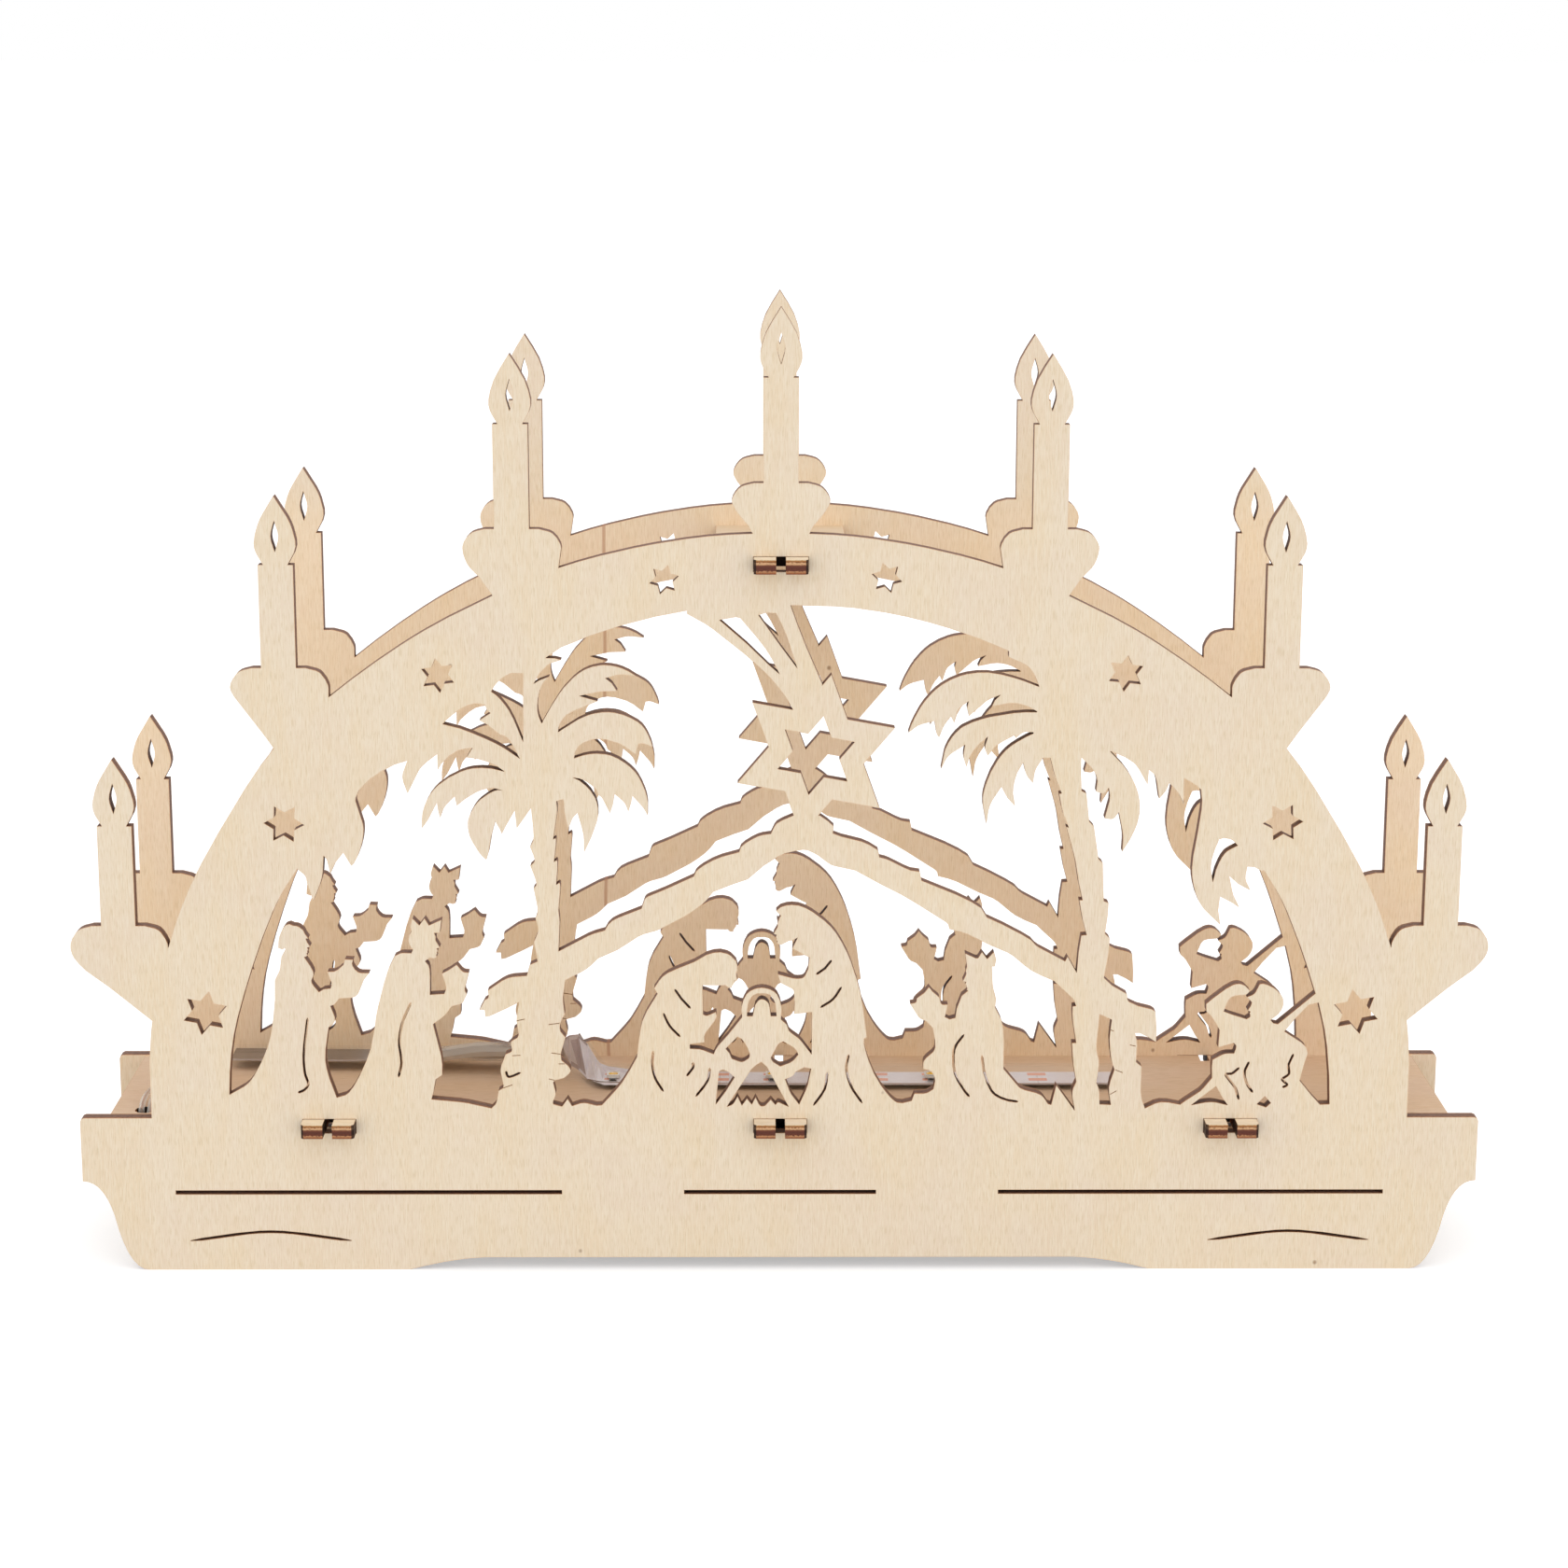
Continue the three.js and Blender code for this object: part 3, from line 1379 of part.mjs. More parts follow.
// Where the strip's middle line runs in its half turn, each as a share: distance into the half turn,
// shift to the back in the room beside the strip, rise from the floor by the sleeve's width; last, how
// far it has turned, in degrees
const stripCourse = [
  [-twistStart / twistLength, 0, 0, 0],
  [0, 0, 0, 0],
  [0.036, 0.04, 0.16, 18],
  [0.107, 0.26, 0.4, 90],
  [0.196, 0.51, 0.34, 150],
  [0.304, 0.64, 0.25, 158],
  [0.464, 0.71, 0.21, 155],
  [0.714, 0.78, 0.12, 166],
  [1, 0.85, 0, 180],
  [(stripLength - twistStart) / twistLength, 0.91, 0, 180],
];

// Place and directions of the strip at a distance from its right end
function stripFrame(distance) {
  const place = (distance - twistStart) / twistLength;
  const last = stripCourse.length - 1;
  const next = Math.min(last, Math.max(1, stripCourse.findIndex(([at]) => at >= place)));
  const [fromAt, ...from] = stripCourse[next - 1];
  const [toAt, ...to] = stripCourse[next];
  const share = THREE.MathUtils.smoothstep(place, fromAt, toAt);
  const [shift, rise, degrees] = from.map((value, i) => THREE.MathUtils.lerp(value, to[i], share));
  const turn = THREE.MathUtils.degToRad(degrees);
  const sideRoom = (roomDepth - sleeveWidth) / 2;
  const rest = floorTop + stripRest + sleeveHeight / 2;
  return {
    middle: new THREE.Vector3(stripEnd - distance, roomMiddle + shift * sideRoom, rest + rise * sleeveWidth),
    across: new THREE.Vector3(0, Math.cos(turn), Math.sin(turn)),
    up: new THREE.Vector3(0, -Math.sin(turn), Math.cos(turn)),
    turn,
  };
}

function stripStations() {
  const stations = [0];
  for (let at = twistStart; at <= twistEnd; at += twistStep) {
    stations.push(at);
  }
  return [...stations, stripLength];
}

// Rings of a rounded flat section along the strip; lift moves it off the strip's middle
function stripRings(width, height, lift, corner, from, to) {
  return stripStations().map((at) => {
    const frame = stripFrame(Math.min(Math.max(at, from), to));
    const point = (side, up) => frame.middle.clone()
      .addScaledVector(frame.across, side)
      .addScaledVector(frame.up, up + lift);
    const w = width / 2;
    const h = height / 2;
    if (corner === 0) {
      return [point(-w, -h), point(w, -h), point(w, h), point(-w, h)];
    }
    return [
      point(-w + corner, -h), point(w - corner, -h), point(w, -h + corner), point(w, h - corner),
      point(w - corner, h), point(-w + corner, h), point(-w, h - corner), point(-w, -h + corner),
    ];
  });
}

// Closed body through rings, solid or, with a second set of rings, hollow and open at both ends
function loft(outer, inner = null) {
  const positions = [];
  const triangles = [];
  const size = outer[0].length;
  const sets = inner ? [outer, inner] : [outer];
  sets.flat(2).forEach((point) => positions.push(point.x, point.y, point.z));
  const vertex = (set, ring, k) => (set * outer.length + ring) * size + (k % size);
  const quad = (a, b, c, d) => triangles.push(a, b, c, a, c, d);
  for (let ring = 0; ring + 1 < outer.length; ring += 1) {
    for (let k = 0; k < size; k += 1) {
      quad(vertex(0, ring, k), vertex(0, ring + 1, k), vertex(0, ring + 1, k + 1), vertex(0, ring, k + 1));
      if (inner) {
        quad(vertex(1, ring, k), vertex(1, ring, k + 1), vertex(1, ring + 1, k + 1), vertex(1, ring + 1, k));
      }
    }
  }
  const end = outer.length - 1;
  for (let k = 0; k < size; k += 1) {
    if (inner) {
      quad(vertex(0, 0, k), vertex(0, 0, k + 1), vertex(1, 0, k + 1), vertex(1, 0, k));
      quad(vertex(0, end, k), vertex(1, end, k), vertex(1, end, k + 1), vertex(0, end, k + 1));
    } else if (k > 0 && k + 1 < size) {
      triangles.push(vertex(0, 0, 0), vertex(0, 0, k), vertex(0, 0, k + 1));
      triangles.push(vertex(0, end, 0), vertex(0, end, k + 1), vertex(0, end, k));
    }
  }
  const geometry = new THREE.BufferGeometry();
  geometry.setAttribute('position', new THREE.BufferAttribute(new Float32Array(positions), 3));
  geometry.setIndex(triangles);
  return geometry;
}

const boreHeight = sleeveHeight - 2 * sleeveWall;
const boardLift = -boreHeight / 2 + stripRest + boardThickness / 2;

function sleeveGeometry() {
  return loft(
    stripRings(sleeveWidth, sleeveHeight, 0, sleeveCorner, 0, stripLength),
    stripRings(sleeveWidth - 2 * sleeveWall, boreHeight, 0, boreCorner, 0, stripLength),
  );
}

function boardGeometry() {
  return loft(stripRings(boardWidth, boardThickness, boardLift, 0, boardInset, stripLength - boardInset));
}

function diode(k) {
  const frame = stripFrame(diodeInset + k * diodePitch);
  const lift = boardLift + boardThickness / 2 + stripRest + diodeHeight / 2;
  const holder = new THREE.Group();
  holder.position.copy(frame.middle).addScaledVector(frame.up, lift);
  holder.rotation.x = frame.turn;
  const body = new THREE.BoxGeometry(diodeWidth, diodeLength, diodeHeight);
  holder.add(piece(`led_${k + 1}`, body, diodeMaterial));
  return holder;
}

// Battery case, seen in its own frame: the cells lie along X, the roof is at z = 0 and the case hangs
// down from it, with the lid at the bottom and the switch beside the cells at the left

const bayLength = cellLength + 2 * contactRoom;
const bayDepth = cellDiameter + 2 * cellPlay;
const lidSlot = lidThickness + 2 * lidPlay;
const caseHeight = caseRoof + bayDepth + lidSlot + lidLip;
const caseLength = switchRoom + bayLength + caseWall;
const caseLeft = -caseLength / 2;
const bayLeft = caseLeft + switchRoom;
const bayRight = bayLeft + bayLength;
const caseTop = floorTop - ply - tapeThickness;
const switchX = caseLeft + switchRoom / 2;
const switchTop = -caseHeight + switchHeight + leadRoom;
const leadEntry = caseTop + switchTop - leadDiameter / 2 - leadPlay;

function box(x0, x1, y0, y1, z0, z1) {
  const geometry = new THREE.BoxGeometry(x1 - x0, y1 - y0, z1 - z0);
  geometry.translate((x0 + x1) / 2, (y0 + y1) / 2, (z0 + z1) / 2);
  return geometry;
}

function caseGeometry() {
  const half = caseWidth / 2;
  const lidHalf = bayWidth / 2 + railDepth;
  const beyond = caseLeft + caseLength + cutPast;
  const slotTop = -caseRoof - bayDepth;
  const body = solidOf(box(caseLeft, caseLeft + caseLength, -half, half, -caseHeight, 0));
  const bay = solidOf(box(bayLeft, bayRight, -bayWidth / 2, bayWidth / 2, slotTop - lidPlay, -caseRoof));
  const channel = solidOf(box(bayLeft - railDepth, beyond, -lidHalf, lidHalf, slotTop - lidSlot, slotTop));
  const mouth = solidOf(box(bayLeft, beyond, -bayWidth / 2, bayWidth / 2, -caseHeight - cutPast, slotTop));
  const pocket = solidOf(box(
    switchX - switchWidth / 2, switchX + switchWidth / 2,
    -switchLength / 2, switchLength / 2,
    -caseHeight - cutPast, switchTop,
  ));
  const leadSlot = solidOf(box(
    caseLeft - cutPast, switchX,
    -leadSpacing / 2 - leadDiameter, leadSpacing / 2 + leadDiameter,
    switchTop - leadDiameter - 2 * leadPlay, switchTop,
  ));
  const cuts = [bay, channel, mouth, pocket, leadSlot];
  return geometryOf(cuts.reduce((rest, cut) => rest.subtract(cut), body));
}

function lidGeometry() {
  const half = bayWidth / 2 + railDepth - lidPlay;
  const bottom = -caseHeight + lidLip + lidPlay;
  const left = bayLeft - railDepth + lidPlay;
  let lid = solidOf(box(left, caseLeft + caseLength, -half, half, bottom, bottom + lidThickness));
  for (let i = 0; i < gripCount; i += 1) {
    const right = bayRight - gripInset - i * gripPitch;
    const groove = box(
      right - gripWidth, right,
      -gripLength / 2, gripLength / 2,
      bottom - cutPast, bottom + gripDepth,
    );
    lid = lid.subtract(solidOf(groove));
  }
  return geometryOf(lid);
}

const cellZ = -caseRoof - cellPlay - cellDiameter / 2;
const cellY = (i) => (i - (cellCount - 1) / 2) * (cellDiameter + cellPlay);
const pointsRight = (i) => i % 2 === 0;

// A cell lies along X with its raised end at +X
function cellGeometry() {
  const radius = cellDiameter / 2;
  const shoulder = cellLength - cellCapHeight;
  const profile = [
    [0, 0],
    [radius - cellRim, 0],
    [radius, cellRim],
    [radius, shoulder - cellRim],
    [radius - cellRim, shoulder],
    [cellCap / 2, shoulder],
    [cellCap / 2, cellLength],
    [0, cellLength],
  ].map(([r, along]) => new THREE.Vector2(r, along - cellLength / 2));
  const geometry = new THREE.LatheGeometry(profile, 18);
  geometry.rotateZ(-Math.PI / 2);
  return geometry;
}

// Contact plate at one end of the bay, with a spring or a dimple for each cell that it touches
function contactGeometry(cells, atRight) {
  const wall = atRight ? bayRight : bayLeft;
  const inward = atRight ? -1 : 1;
  const face = wall + inward * contactThickness;
  const places = cells.map(cellY);
  let solid = solidOf(box(
    Math.min(wall, face), Math.max(wall, face),
    Math.min(...places) - contactMargin, Math.max(...places) + contactMargin,
    cellZ - contactHeight / 2, cellZ + contactHeight / 2,
  ));
  const reach = contactRoom - contactThickness / 2 - contactGap;
  for (const i of cells) {
    const touchesCap = pointsRight(i) === atRight;
    const tip = touchesCap ? dimpleTip : springTip;
    const base = touchesCap ? dimpleBase : springBase;
    const bump = new THREE.CylinderGeometry(tip, base, reach, 12);
    bump.rotateZ((-inward * Math.PI) / 2);
    bump.translate(wall + inward * (contactThickness / 2 + reach / 2), cellY(i), cellZ);
    solid = solid.add(solidOf(bump));
  }
  return geometryOf(solid);
}

function switchGeometry() {
  const slotHalf = knobTravel / 2 + knobLength / 2 + knobPlay;
  const body = solidOf(box(
    -switchWidth / 2, switchWidth / 2,
    -switchLength / 2, switchLength / 2,
    -caseHeight, -caseHeight + switchHeight,
  ));
  const slot = solidOf(box(
    -knobWidth / 2 - knobPlay, knobWidth / 2 + knobPlay,
    -slotHalf, slotHalf,
    -caseHeight - cutPast, -caseHeight + switchHeight / 2,
  ));
  return geometryOf(body.subtract(slot));
}

function knobGeometry() {
  return box(
    -knobWidth / 2, knobWidth / 2,
    -knobLength / 2, knobLength / 2,
    -caseHeight - knobReach, -caseHeight + switchHeight / 2 - knobPlay,
  );
}

// Leads from the strip's left end over the floor plate, down through its hole and back to the case

function leadGeometry(side) {
  const { lerp } = THREE.MathUtils;
  const shift = (side * leadSpacing) / 2;
  const start = stripFrame(stripLength).middle;
  const radius = leadDiameter / 2;
  const above = floorTop + stripRest + radius;
  const below = floorTop - ply - stripRest - radius - leadLift;
  const holeX = leadHoleX - side * (radius + leadHolePlay);
  const holeY = ply + leadHoleY;
  const row = roomMiddle + shift;
  const overPlate = (share) => lerp(start.x, leadHoleX, share);
  const underPlate = (share) => lerp(leadHoleX, caseLeft, share);
  const knots = [
    [start.x - stripRest, start.y + shift, start.z],
    [overPlate(0.38), start.y + shift - radius, above + leadLift / 2],
    [overPlate(0.7) - shift, holeY + leadLoop + shift, above],
    [holeX, holeY + leadBend, above + leadLift],
    [holeX, holeY, floorTop - ply / 6],
    [holeX, holeY, floorTop - (5 * ply) / 6],
    [holeX + radius, holeY + leadBend + shift, below],
    [underPlate(0.17), holeY + 0.6 * leadLoop + shift, below],
    [underPlate(0.57), row, below],
    [underPlate(0.85), row, lerp(below, leadEntry, 0.7)],
    [underPlate(0.95), row, leadEntry],
    [caseLeft + caseWall / 2, row, leadEntry],
  ].map(([x, y, z]) => new THREE.Vector3(x, y, z));
  const section = new THREE.Shape();
  section.absarc(0, 0, radius, 0, 2 * Math.PI, false);
  return new THREE.ExtrudeGeometry(section, {
    extrudePath: new THREE.CatmullRomCurve3(knots, false, 'centripetal'),
    steps: 44,
    curveSegments: 2,
    bevelEnabled: false,
  });
}

// Materials
function paint(color, roughness, metalness = 0) {
  return new THREE.MeshStandardMaterial({ color, roughness, metalness });
}
const birch = () => paint(0xe7d3b1, 0.72);
const clearSilicone = () => paint(0xe4e2da, 0.25);
const whiteBoard = () => paint(0xeeeeea, 0.5);
const diodeMaterial = () => paint(0xf0c24a, 0.4);
const blackPlastic = () => paint(0x1d1d1f, 0.55);
const whitePlastic = () => paint(0xf1f0ec, 0.5);
const nickel = () => paint(0xc9c6bd, 0.3, 1);
const cellWrap = () => paint(0x2f5b45, 0.4);
const foam = () => paint(0xf4f4f0, 0.95);

function piece(name, geometry, material) {
  const mesh = new THREE.Mesh(geometry, material());
  mesh.name = name;
  return mesh;
}

function uprightPanel(name, geometry, front) {
  const mesh = piece(name, geometry, birch);
  mesh.rotation.x = Math.PI / 2;
  mesh.position.y = front + ply;
  return mesh;
}

const group = new THREE.Group();

const panel = panelGeometry();
group.add(uprightPanel('front_panel', panel, 0));
group.add(uprightPanel('rear_panel', panel, backPanelY));

const floor = piece('floor_plate', floorGeometry(), birch);
floor.position.set(0, ply, floorTop - ply);
group.add(floor);

const strut = piece('top_strut', plateWithTabs(strutWidth / 2, [0], []), birch);
strut.position.set(0, ply, strutTop - ply);
group.add(strut);

group.add(piece('led_sleeve', sleeveGeometry(), clearSilicone));
group.add(piece('led_board', boardGeometry(), whiteBoard));
for (let k = 0; k < diodeCount; k += 1) {
  group.add(diode(k));
}

const supply = new THREE.Group();
supply.position.set(0, roomMiddle, caseTop);
const tape = box(
  caseLeft + tapeInset, caseLeft + caseLength - tapeInset,
  tapeInset - caseWidth / 2, caseWidth / 2 - tapeInset,
  0, tapeThickness,
);
supply.add(piece('mounting_tape', tape, foam));
supply.add(piece('battery_case', caseGeometry(), blackPlastic));
supply.add(piece('battery_lid', lidGeometry(), blackPlastic));
for (let i = 0; i < cellCount; i += 1) {
  const cell = piece(`battery_cell_${i + 1}`, cellGeometry(), cellWrap);
  cell.position.set((bayLeft + bayRight) / 2, cellY(i), cellZ);
  cell.rotation.z = pointsRight(i) ? 0 : Math.PI;
  supply.add(cell);
}
supply.add(piece('contact_first', contactGeometry([0], false), nickel));
supply.add(piece('contact_bridge_1', contactGeometry([0, 1], true), nickel));
supply.add(piece('contact_bridge_2', contactGeometry([1, 2], false), nickel));
supply.add(piece('contact_last', contactGeometry([2], true), nickel));

const slideSwitch = new THREE.Group();
slideSwitch.position.x = switchX;
slideSwitch.add(piece('switch_housing', switchGeometry(), blackPlastic));
const knob = piece('switch_knob', knobGeometry(), whitePlastic);
knob.position.y = -knobTravel / 2;
slideSwitch.add(knob);
supply.add(slideSwitch);
group.add(supply);

group.add(piece('lead_positive', leadGeometry(1), clearSilicone));
group.add(piece('lead_negative', leadGeometry(-1), clearSilicone));
group.position.y = -roomMiddle;

export default group;
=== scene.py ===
# %% [markdown]
# # A lighted candle arch in birch plywood
#
# The object is a small window decoration for Christmas: two laser cut plywood panels, one behind
# the other, with a strip of light-emitting diodes between them. This lesson dresses its packed
# model. It builds the finishes first, then the small pieces that the model leaves plain, then the
# stage.

# %% Load the frame
import math

import bmesh
import bpy
from mathutils import Matrix, Vector


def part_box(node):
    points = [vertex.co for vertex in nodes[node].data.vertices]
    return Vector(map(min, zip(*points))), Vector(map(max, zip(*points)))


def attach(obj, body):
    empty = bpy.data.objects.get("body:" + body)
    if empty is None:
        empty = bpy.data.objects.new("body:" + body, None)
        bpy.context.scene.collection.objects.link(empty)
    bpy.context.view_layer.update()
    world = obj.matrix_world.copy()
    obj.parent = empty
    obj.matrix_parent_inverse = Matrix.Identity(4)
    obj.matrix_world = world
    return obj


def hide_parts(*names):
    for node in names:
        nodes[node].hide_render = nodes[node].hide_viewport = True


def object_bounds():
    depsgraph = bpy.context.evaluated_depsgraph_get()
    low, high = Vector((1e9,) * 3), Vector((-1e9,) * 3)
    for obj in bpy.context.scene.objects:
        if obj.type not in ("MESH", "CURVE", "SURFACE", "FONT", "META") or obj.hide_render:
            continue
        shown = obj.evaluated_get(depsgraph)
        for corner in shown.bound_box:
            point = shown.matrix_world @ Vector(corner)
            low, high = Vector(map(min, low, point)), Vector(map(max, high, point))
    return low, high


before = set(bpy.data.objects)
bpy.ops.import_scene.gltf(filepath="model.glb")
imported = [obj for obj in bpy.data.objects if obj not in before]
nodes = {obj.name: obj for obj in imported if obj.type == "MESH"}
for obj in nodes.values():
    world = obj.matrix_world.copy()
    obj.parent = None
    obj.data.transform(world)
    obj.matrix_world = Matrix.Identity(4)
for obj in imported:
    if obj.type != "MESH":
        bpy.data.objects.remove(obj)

cad_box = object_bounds()
MM = 0.001
cad_size = [round(side / MM, 1) for side in cad_box[1] - cad_box[0]]
print("nodes:", len(nodes), "size in mm:", cad_size)

# %% [markdown]
# ## Camera
#
# The camera comes first, because everything is compared with the photograph. It stands 70 cm in
# front of the arch, a little above it, and looks down by a seventh of a right angle. Its place and
# turn were worked out from corners of both panels, so that one lines up with the other exactly as
# in the picture. A long lens keeps the panels nearly the same size.

# %% Camera
CAMERA_PLACE = Vector((-4.5, -700.8, 257.35)) * MM
CAMERA_TURN = (77.3947, -0.0926, -0.4184)
CAMERA_LENS = 77.14
CAMERA_SENSOR = 36

camera_data = bpy.data.cameras.new("photo_camera")
camera_data.lens = CAMERA_LENS
camera_data.sensor_width = CAMERA_SENSOR
camera_data.dof.use_dof = False
camera = bpy.data.objects.new("photo_camera", camera_data)
camera.location = CAMERA_PLACE
camera.rotation_euler = [math.radians(angle) for angle in CAMERA_TURN]
bpy.context.scene.collection.objects.link(camera)
bpy.context.scene.camera = camera
print("camera looks from", [round(value / MM) for value in camera.location], "mm")

# %% [markdown]
# ## A small language for finishes
#
# A finish is a network of nodes. Writing it as arithmetic is easier to read than a list of links,
# so a small class wraps one output of a node, and each operator adds the Math node that does the
# sum. Colours and vectors are never sent through Math nodes, which would turn them grey: they have
# methods of their own.

# %% Values and finishes
class Value:
    """One output in a finish's nodes. Arithmetic on it adds Math nodes."""

    def __init__(self, finish, socket):
        self.finish = finish
        self.socket = socket

    def math(self, operation, other=0.0, reflected=False):
        first, second = (other, self) if reflected else (self, other)
        return self.finish.node(
            "ShaderNodeMath", {"operation": operation}, {0: first, 1: second}
        )

    def __add__(self, other):
        return self.math("ADD", other)

    def __sub__(self, other):
        return self.math("SUBTRACT", other)

    def __rsub__(self, other):
        return self.math("SUBTRACT", other, reflected=True)

    def __mul__(self, other):
        return self.math("MULTIPLY", other)

    __radd__ = __add__
    __rmul__ = __mul__

    def above(self, edge, softness):
        """0 below the edge and 1 above it, with a soft change."""
        return self.finish.node(
            "ShaderNodeMapRange",
            {"interpolation_type": "SMOOTHSTEP"},
            {"Value": self, "From Min": edge - softness, "From Max": edge + softness},
        )

    def below(self, edge, softness):
        """1 below the edge and 0 above it."""
        return 1.0 - self.above(edge, softness)

    def ramp(self, stops):
        """A colour for each value, from pairs of a place and a colour."""
        return self.finish.node("ShaderNodeValToRGB", {"stops": stops}, {"Fac": self})


class Finish:
    """A Principled material that is built up node by node."""

    def __init__(self, name, constants):
        self.material = bpy.data.materials.new(name)
        self.material.use_nodes = True
        self.tree = self.material.node_tree
        self.shader = self.tree.nodes["Principled BSDF"]
        self.set(constants)

    def feed(self, socket, value):
        if isinstance(value, Value):
            self.tree.links.new(value.socket, socket)
        else:
            socket.default_value = value

    def set(self, inputs):
        for name, value in inputs.items():
            self.feed(self.shader.inputs[name], value)

    def node(self, kind, settings, inputs, output=0):
        made = self.tree.nodes.new(kind)
        for name, value in settings.items():
            if name == "stops":
                elements = made.color_ramp.elements
                while len(elements) < len(value):
                    elements.new(1)
                for element, (place, colour) in zip(elements, value):
                    element.position = place
                    element.color = colour
            else:
                setattr(made, name, value)
        for name, value in inputs.items():
            self.feed(made.inputs[name], value)
        return Value(self, made.outputs[output])

    def place(self):
        """Where a point of the surface is, in millimetres."""
        metres = self.node("ShaderNodeTexCoord", {}, {}, "Object")
        return self.scaled(metres, (1 / MM, 1 / MM, 1 / MM))

    def normal(self):
        """Which way the surface points, as its three parts."""
        return self.parts(self.node("ShaderNodeNewGeometry", {}, {}, "True Normal"))

    def scaled(self, vector, factors):
        return self.node("ShaderNodeVectorMath", {"operation": "MULTIPLY"}, {0: vector, 1: factors})

    def parts(self, vector):
        split = self.tree.nodes.new("ShaderNodeSeparateXYZ")
        self.feed(split.inputs[0], vector)
        return [Value(self, output) for output in split.outputs]

    def noise(self, vector, factors, detail=2.0):
        """Noise from 0 to 1, with a frequency per millimetre along each axis."""
        return self.node(
            "ShaderNodeTexNoise",
            {},
            {"Vector": self.scaled(vector, factors), "Scale": 1.0, "Detail": detail},
        )

    def spots(self, vector):
        """Distance to the nearest of many scattered points."""
        return self.node("ShaderNodeTexVoronoi", {}, {"Vector": vector, "Scale": 1.0})

    def mix(self, share, first, second, blend="MIX"):
        """A colour between two colours."""
        return self.node(
            "ShaderNodeMix",
            {"data_type": "RGBA", "blend_type": blend},
            {0: share, 6: first, 7: second},
            2,
        )

    def bump(self, height, distance, strength=1.0):
        """Raises the surface by height, a value from 0 to 1, times distance in millimetres."""
        inputs = {"Height": height, "Distance": distance * MM, "Strength": strength}
        self.set({"Normal": self.node("ShaderNodeBump", {}, inputs)})


def shade(code):
    """A colour written as on a screen, such as e7d3b1, as Blender's linear colour."""
    screen = [int(code[i:i + 2], 16) / 255 for i in (0, 2, 4)]
    return [c / 12.92 if c <= 0.04045 else ((c + 0.055) / 1.055) ** 2.4 for c in screen] + [1.0]


def grey(level):
    """A grey, as a linear colour."""
    return [level] * 3 + [1.0]


print("cream birch is", [round(value, 3) for value in shade("eeddc5")])

# %% [markdown]
# ## Birch plywood
#
# A sheet of 3 mm plywood has a pale face whose fibres run one way, and edges that show its layers.
# The laser scorches what it cuts: the walls turn brown, and a thin warm rim is left on the face
# beside each cut. So the finish asks three things of a point: which way the surface points there,
# how deep it lies in the sheet, and whether a corner is near, which the Bevel node tells by
# rounding the shading. The fibres are noise that is stretched along the grain, in two sizes.

# %% Colours of birch
PLY = 3.0
CREAM = shade("eeddc5")
STRAW = shade("edd8b8")
ROSE = shade("ead7c4")
LIGHT_FIBRE = shade("f4e7d2")
DARK_FIBRE = shade("d8c29c")
KNOT = shade("8a6747")
RIM = shade("d9a878")
CHAR = shade("4a2e24")
WALL_LAYERS = [
    (0.00, shade("c08850")),
    (0.10, shade("9c6848")),
    (0.30, shade("866452")),
    (0.52, shade("745548")),
    (0.72, shade("886a58")),
    (0.90, shade("9a6c50")),
    (1.00, shade("b07c4e")),
]
TAB_LAYERS = [
    (0.00, shade("84482e")),
    (0.10, shade("a86c48")),
    (0.20, shade("c48e64")),
    (0.24, shade("6c3a2a")),
    (0.46, shade("60342a")),
    (0.62, shade("7c4834")),
    (0.66, shade("d4a478")),
    (0.78, shade("dcb084")),
    (0.82, shade("98603a")),
    (0.93, shade("b47c48")),
    (1.00, shade("f4e2b8")),
]
print("colours from layer to layer:", len(WALL_LAYERS), "on walls,", len(TAB_LAYERS), "on tabs")

# %% [markdown]
# Each pattern on the face has one frequency along the grain and another across it, both per
# millimetre. The face is then painted from the widest pattern to the smallest: broad bands, rosy
# clouds, pale fibres, dark hairs, and here and there a knot. The edges have streaks of their own,
# with one frequency through the sheet and another along it.

# %% Plywood finish
FIBRES = (0.256, 3.2)
HAIRS = (0.4, 5.0)
BANDS = (0.026, 0.13)
KNOTS = (0.045, 0.05)
CLOUDS = (0.045, 0.045)
STREAKS = (3.4, 2.0)
STREAK_SHIFT = 0.22
RIM_WIDTH = 0.3
GRAIN_HEIGHT = 0.015
GRAIN_STRENGTH = 0.4
SIDEWAYS, BACKWARDS, UPWARDS = range(3)


def stretched(frequencies, axis):
    """A frequency for each axis: the first of the pair along one axis, the second elsewhere."""
    return [frequencies[0] if index == axis else frequencies[1] for index in range(3)]


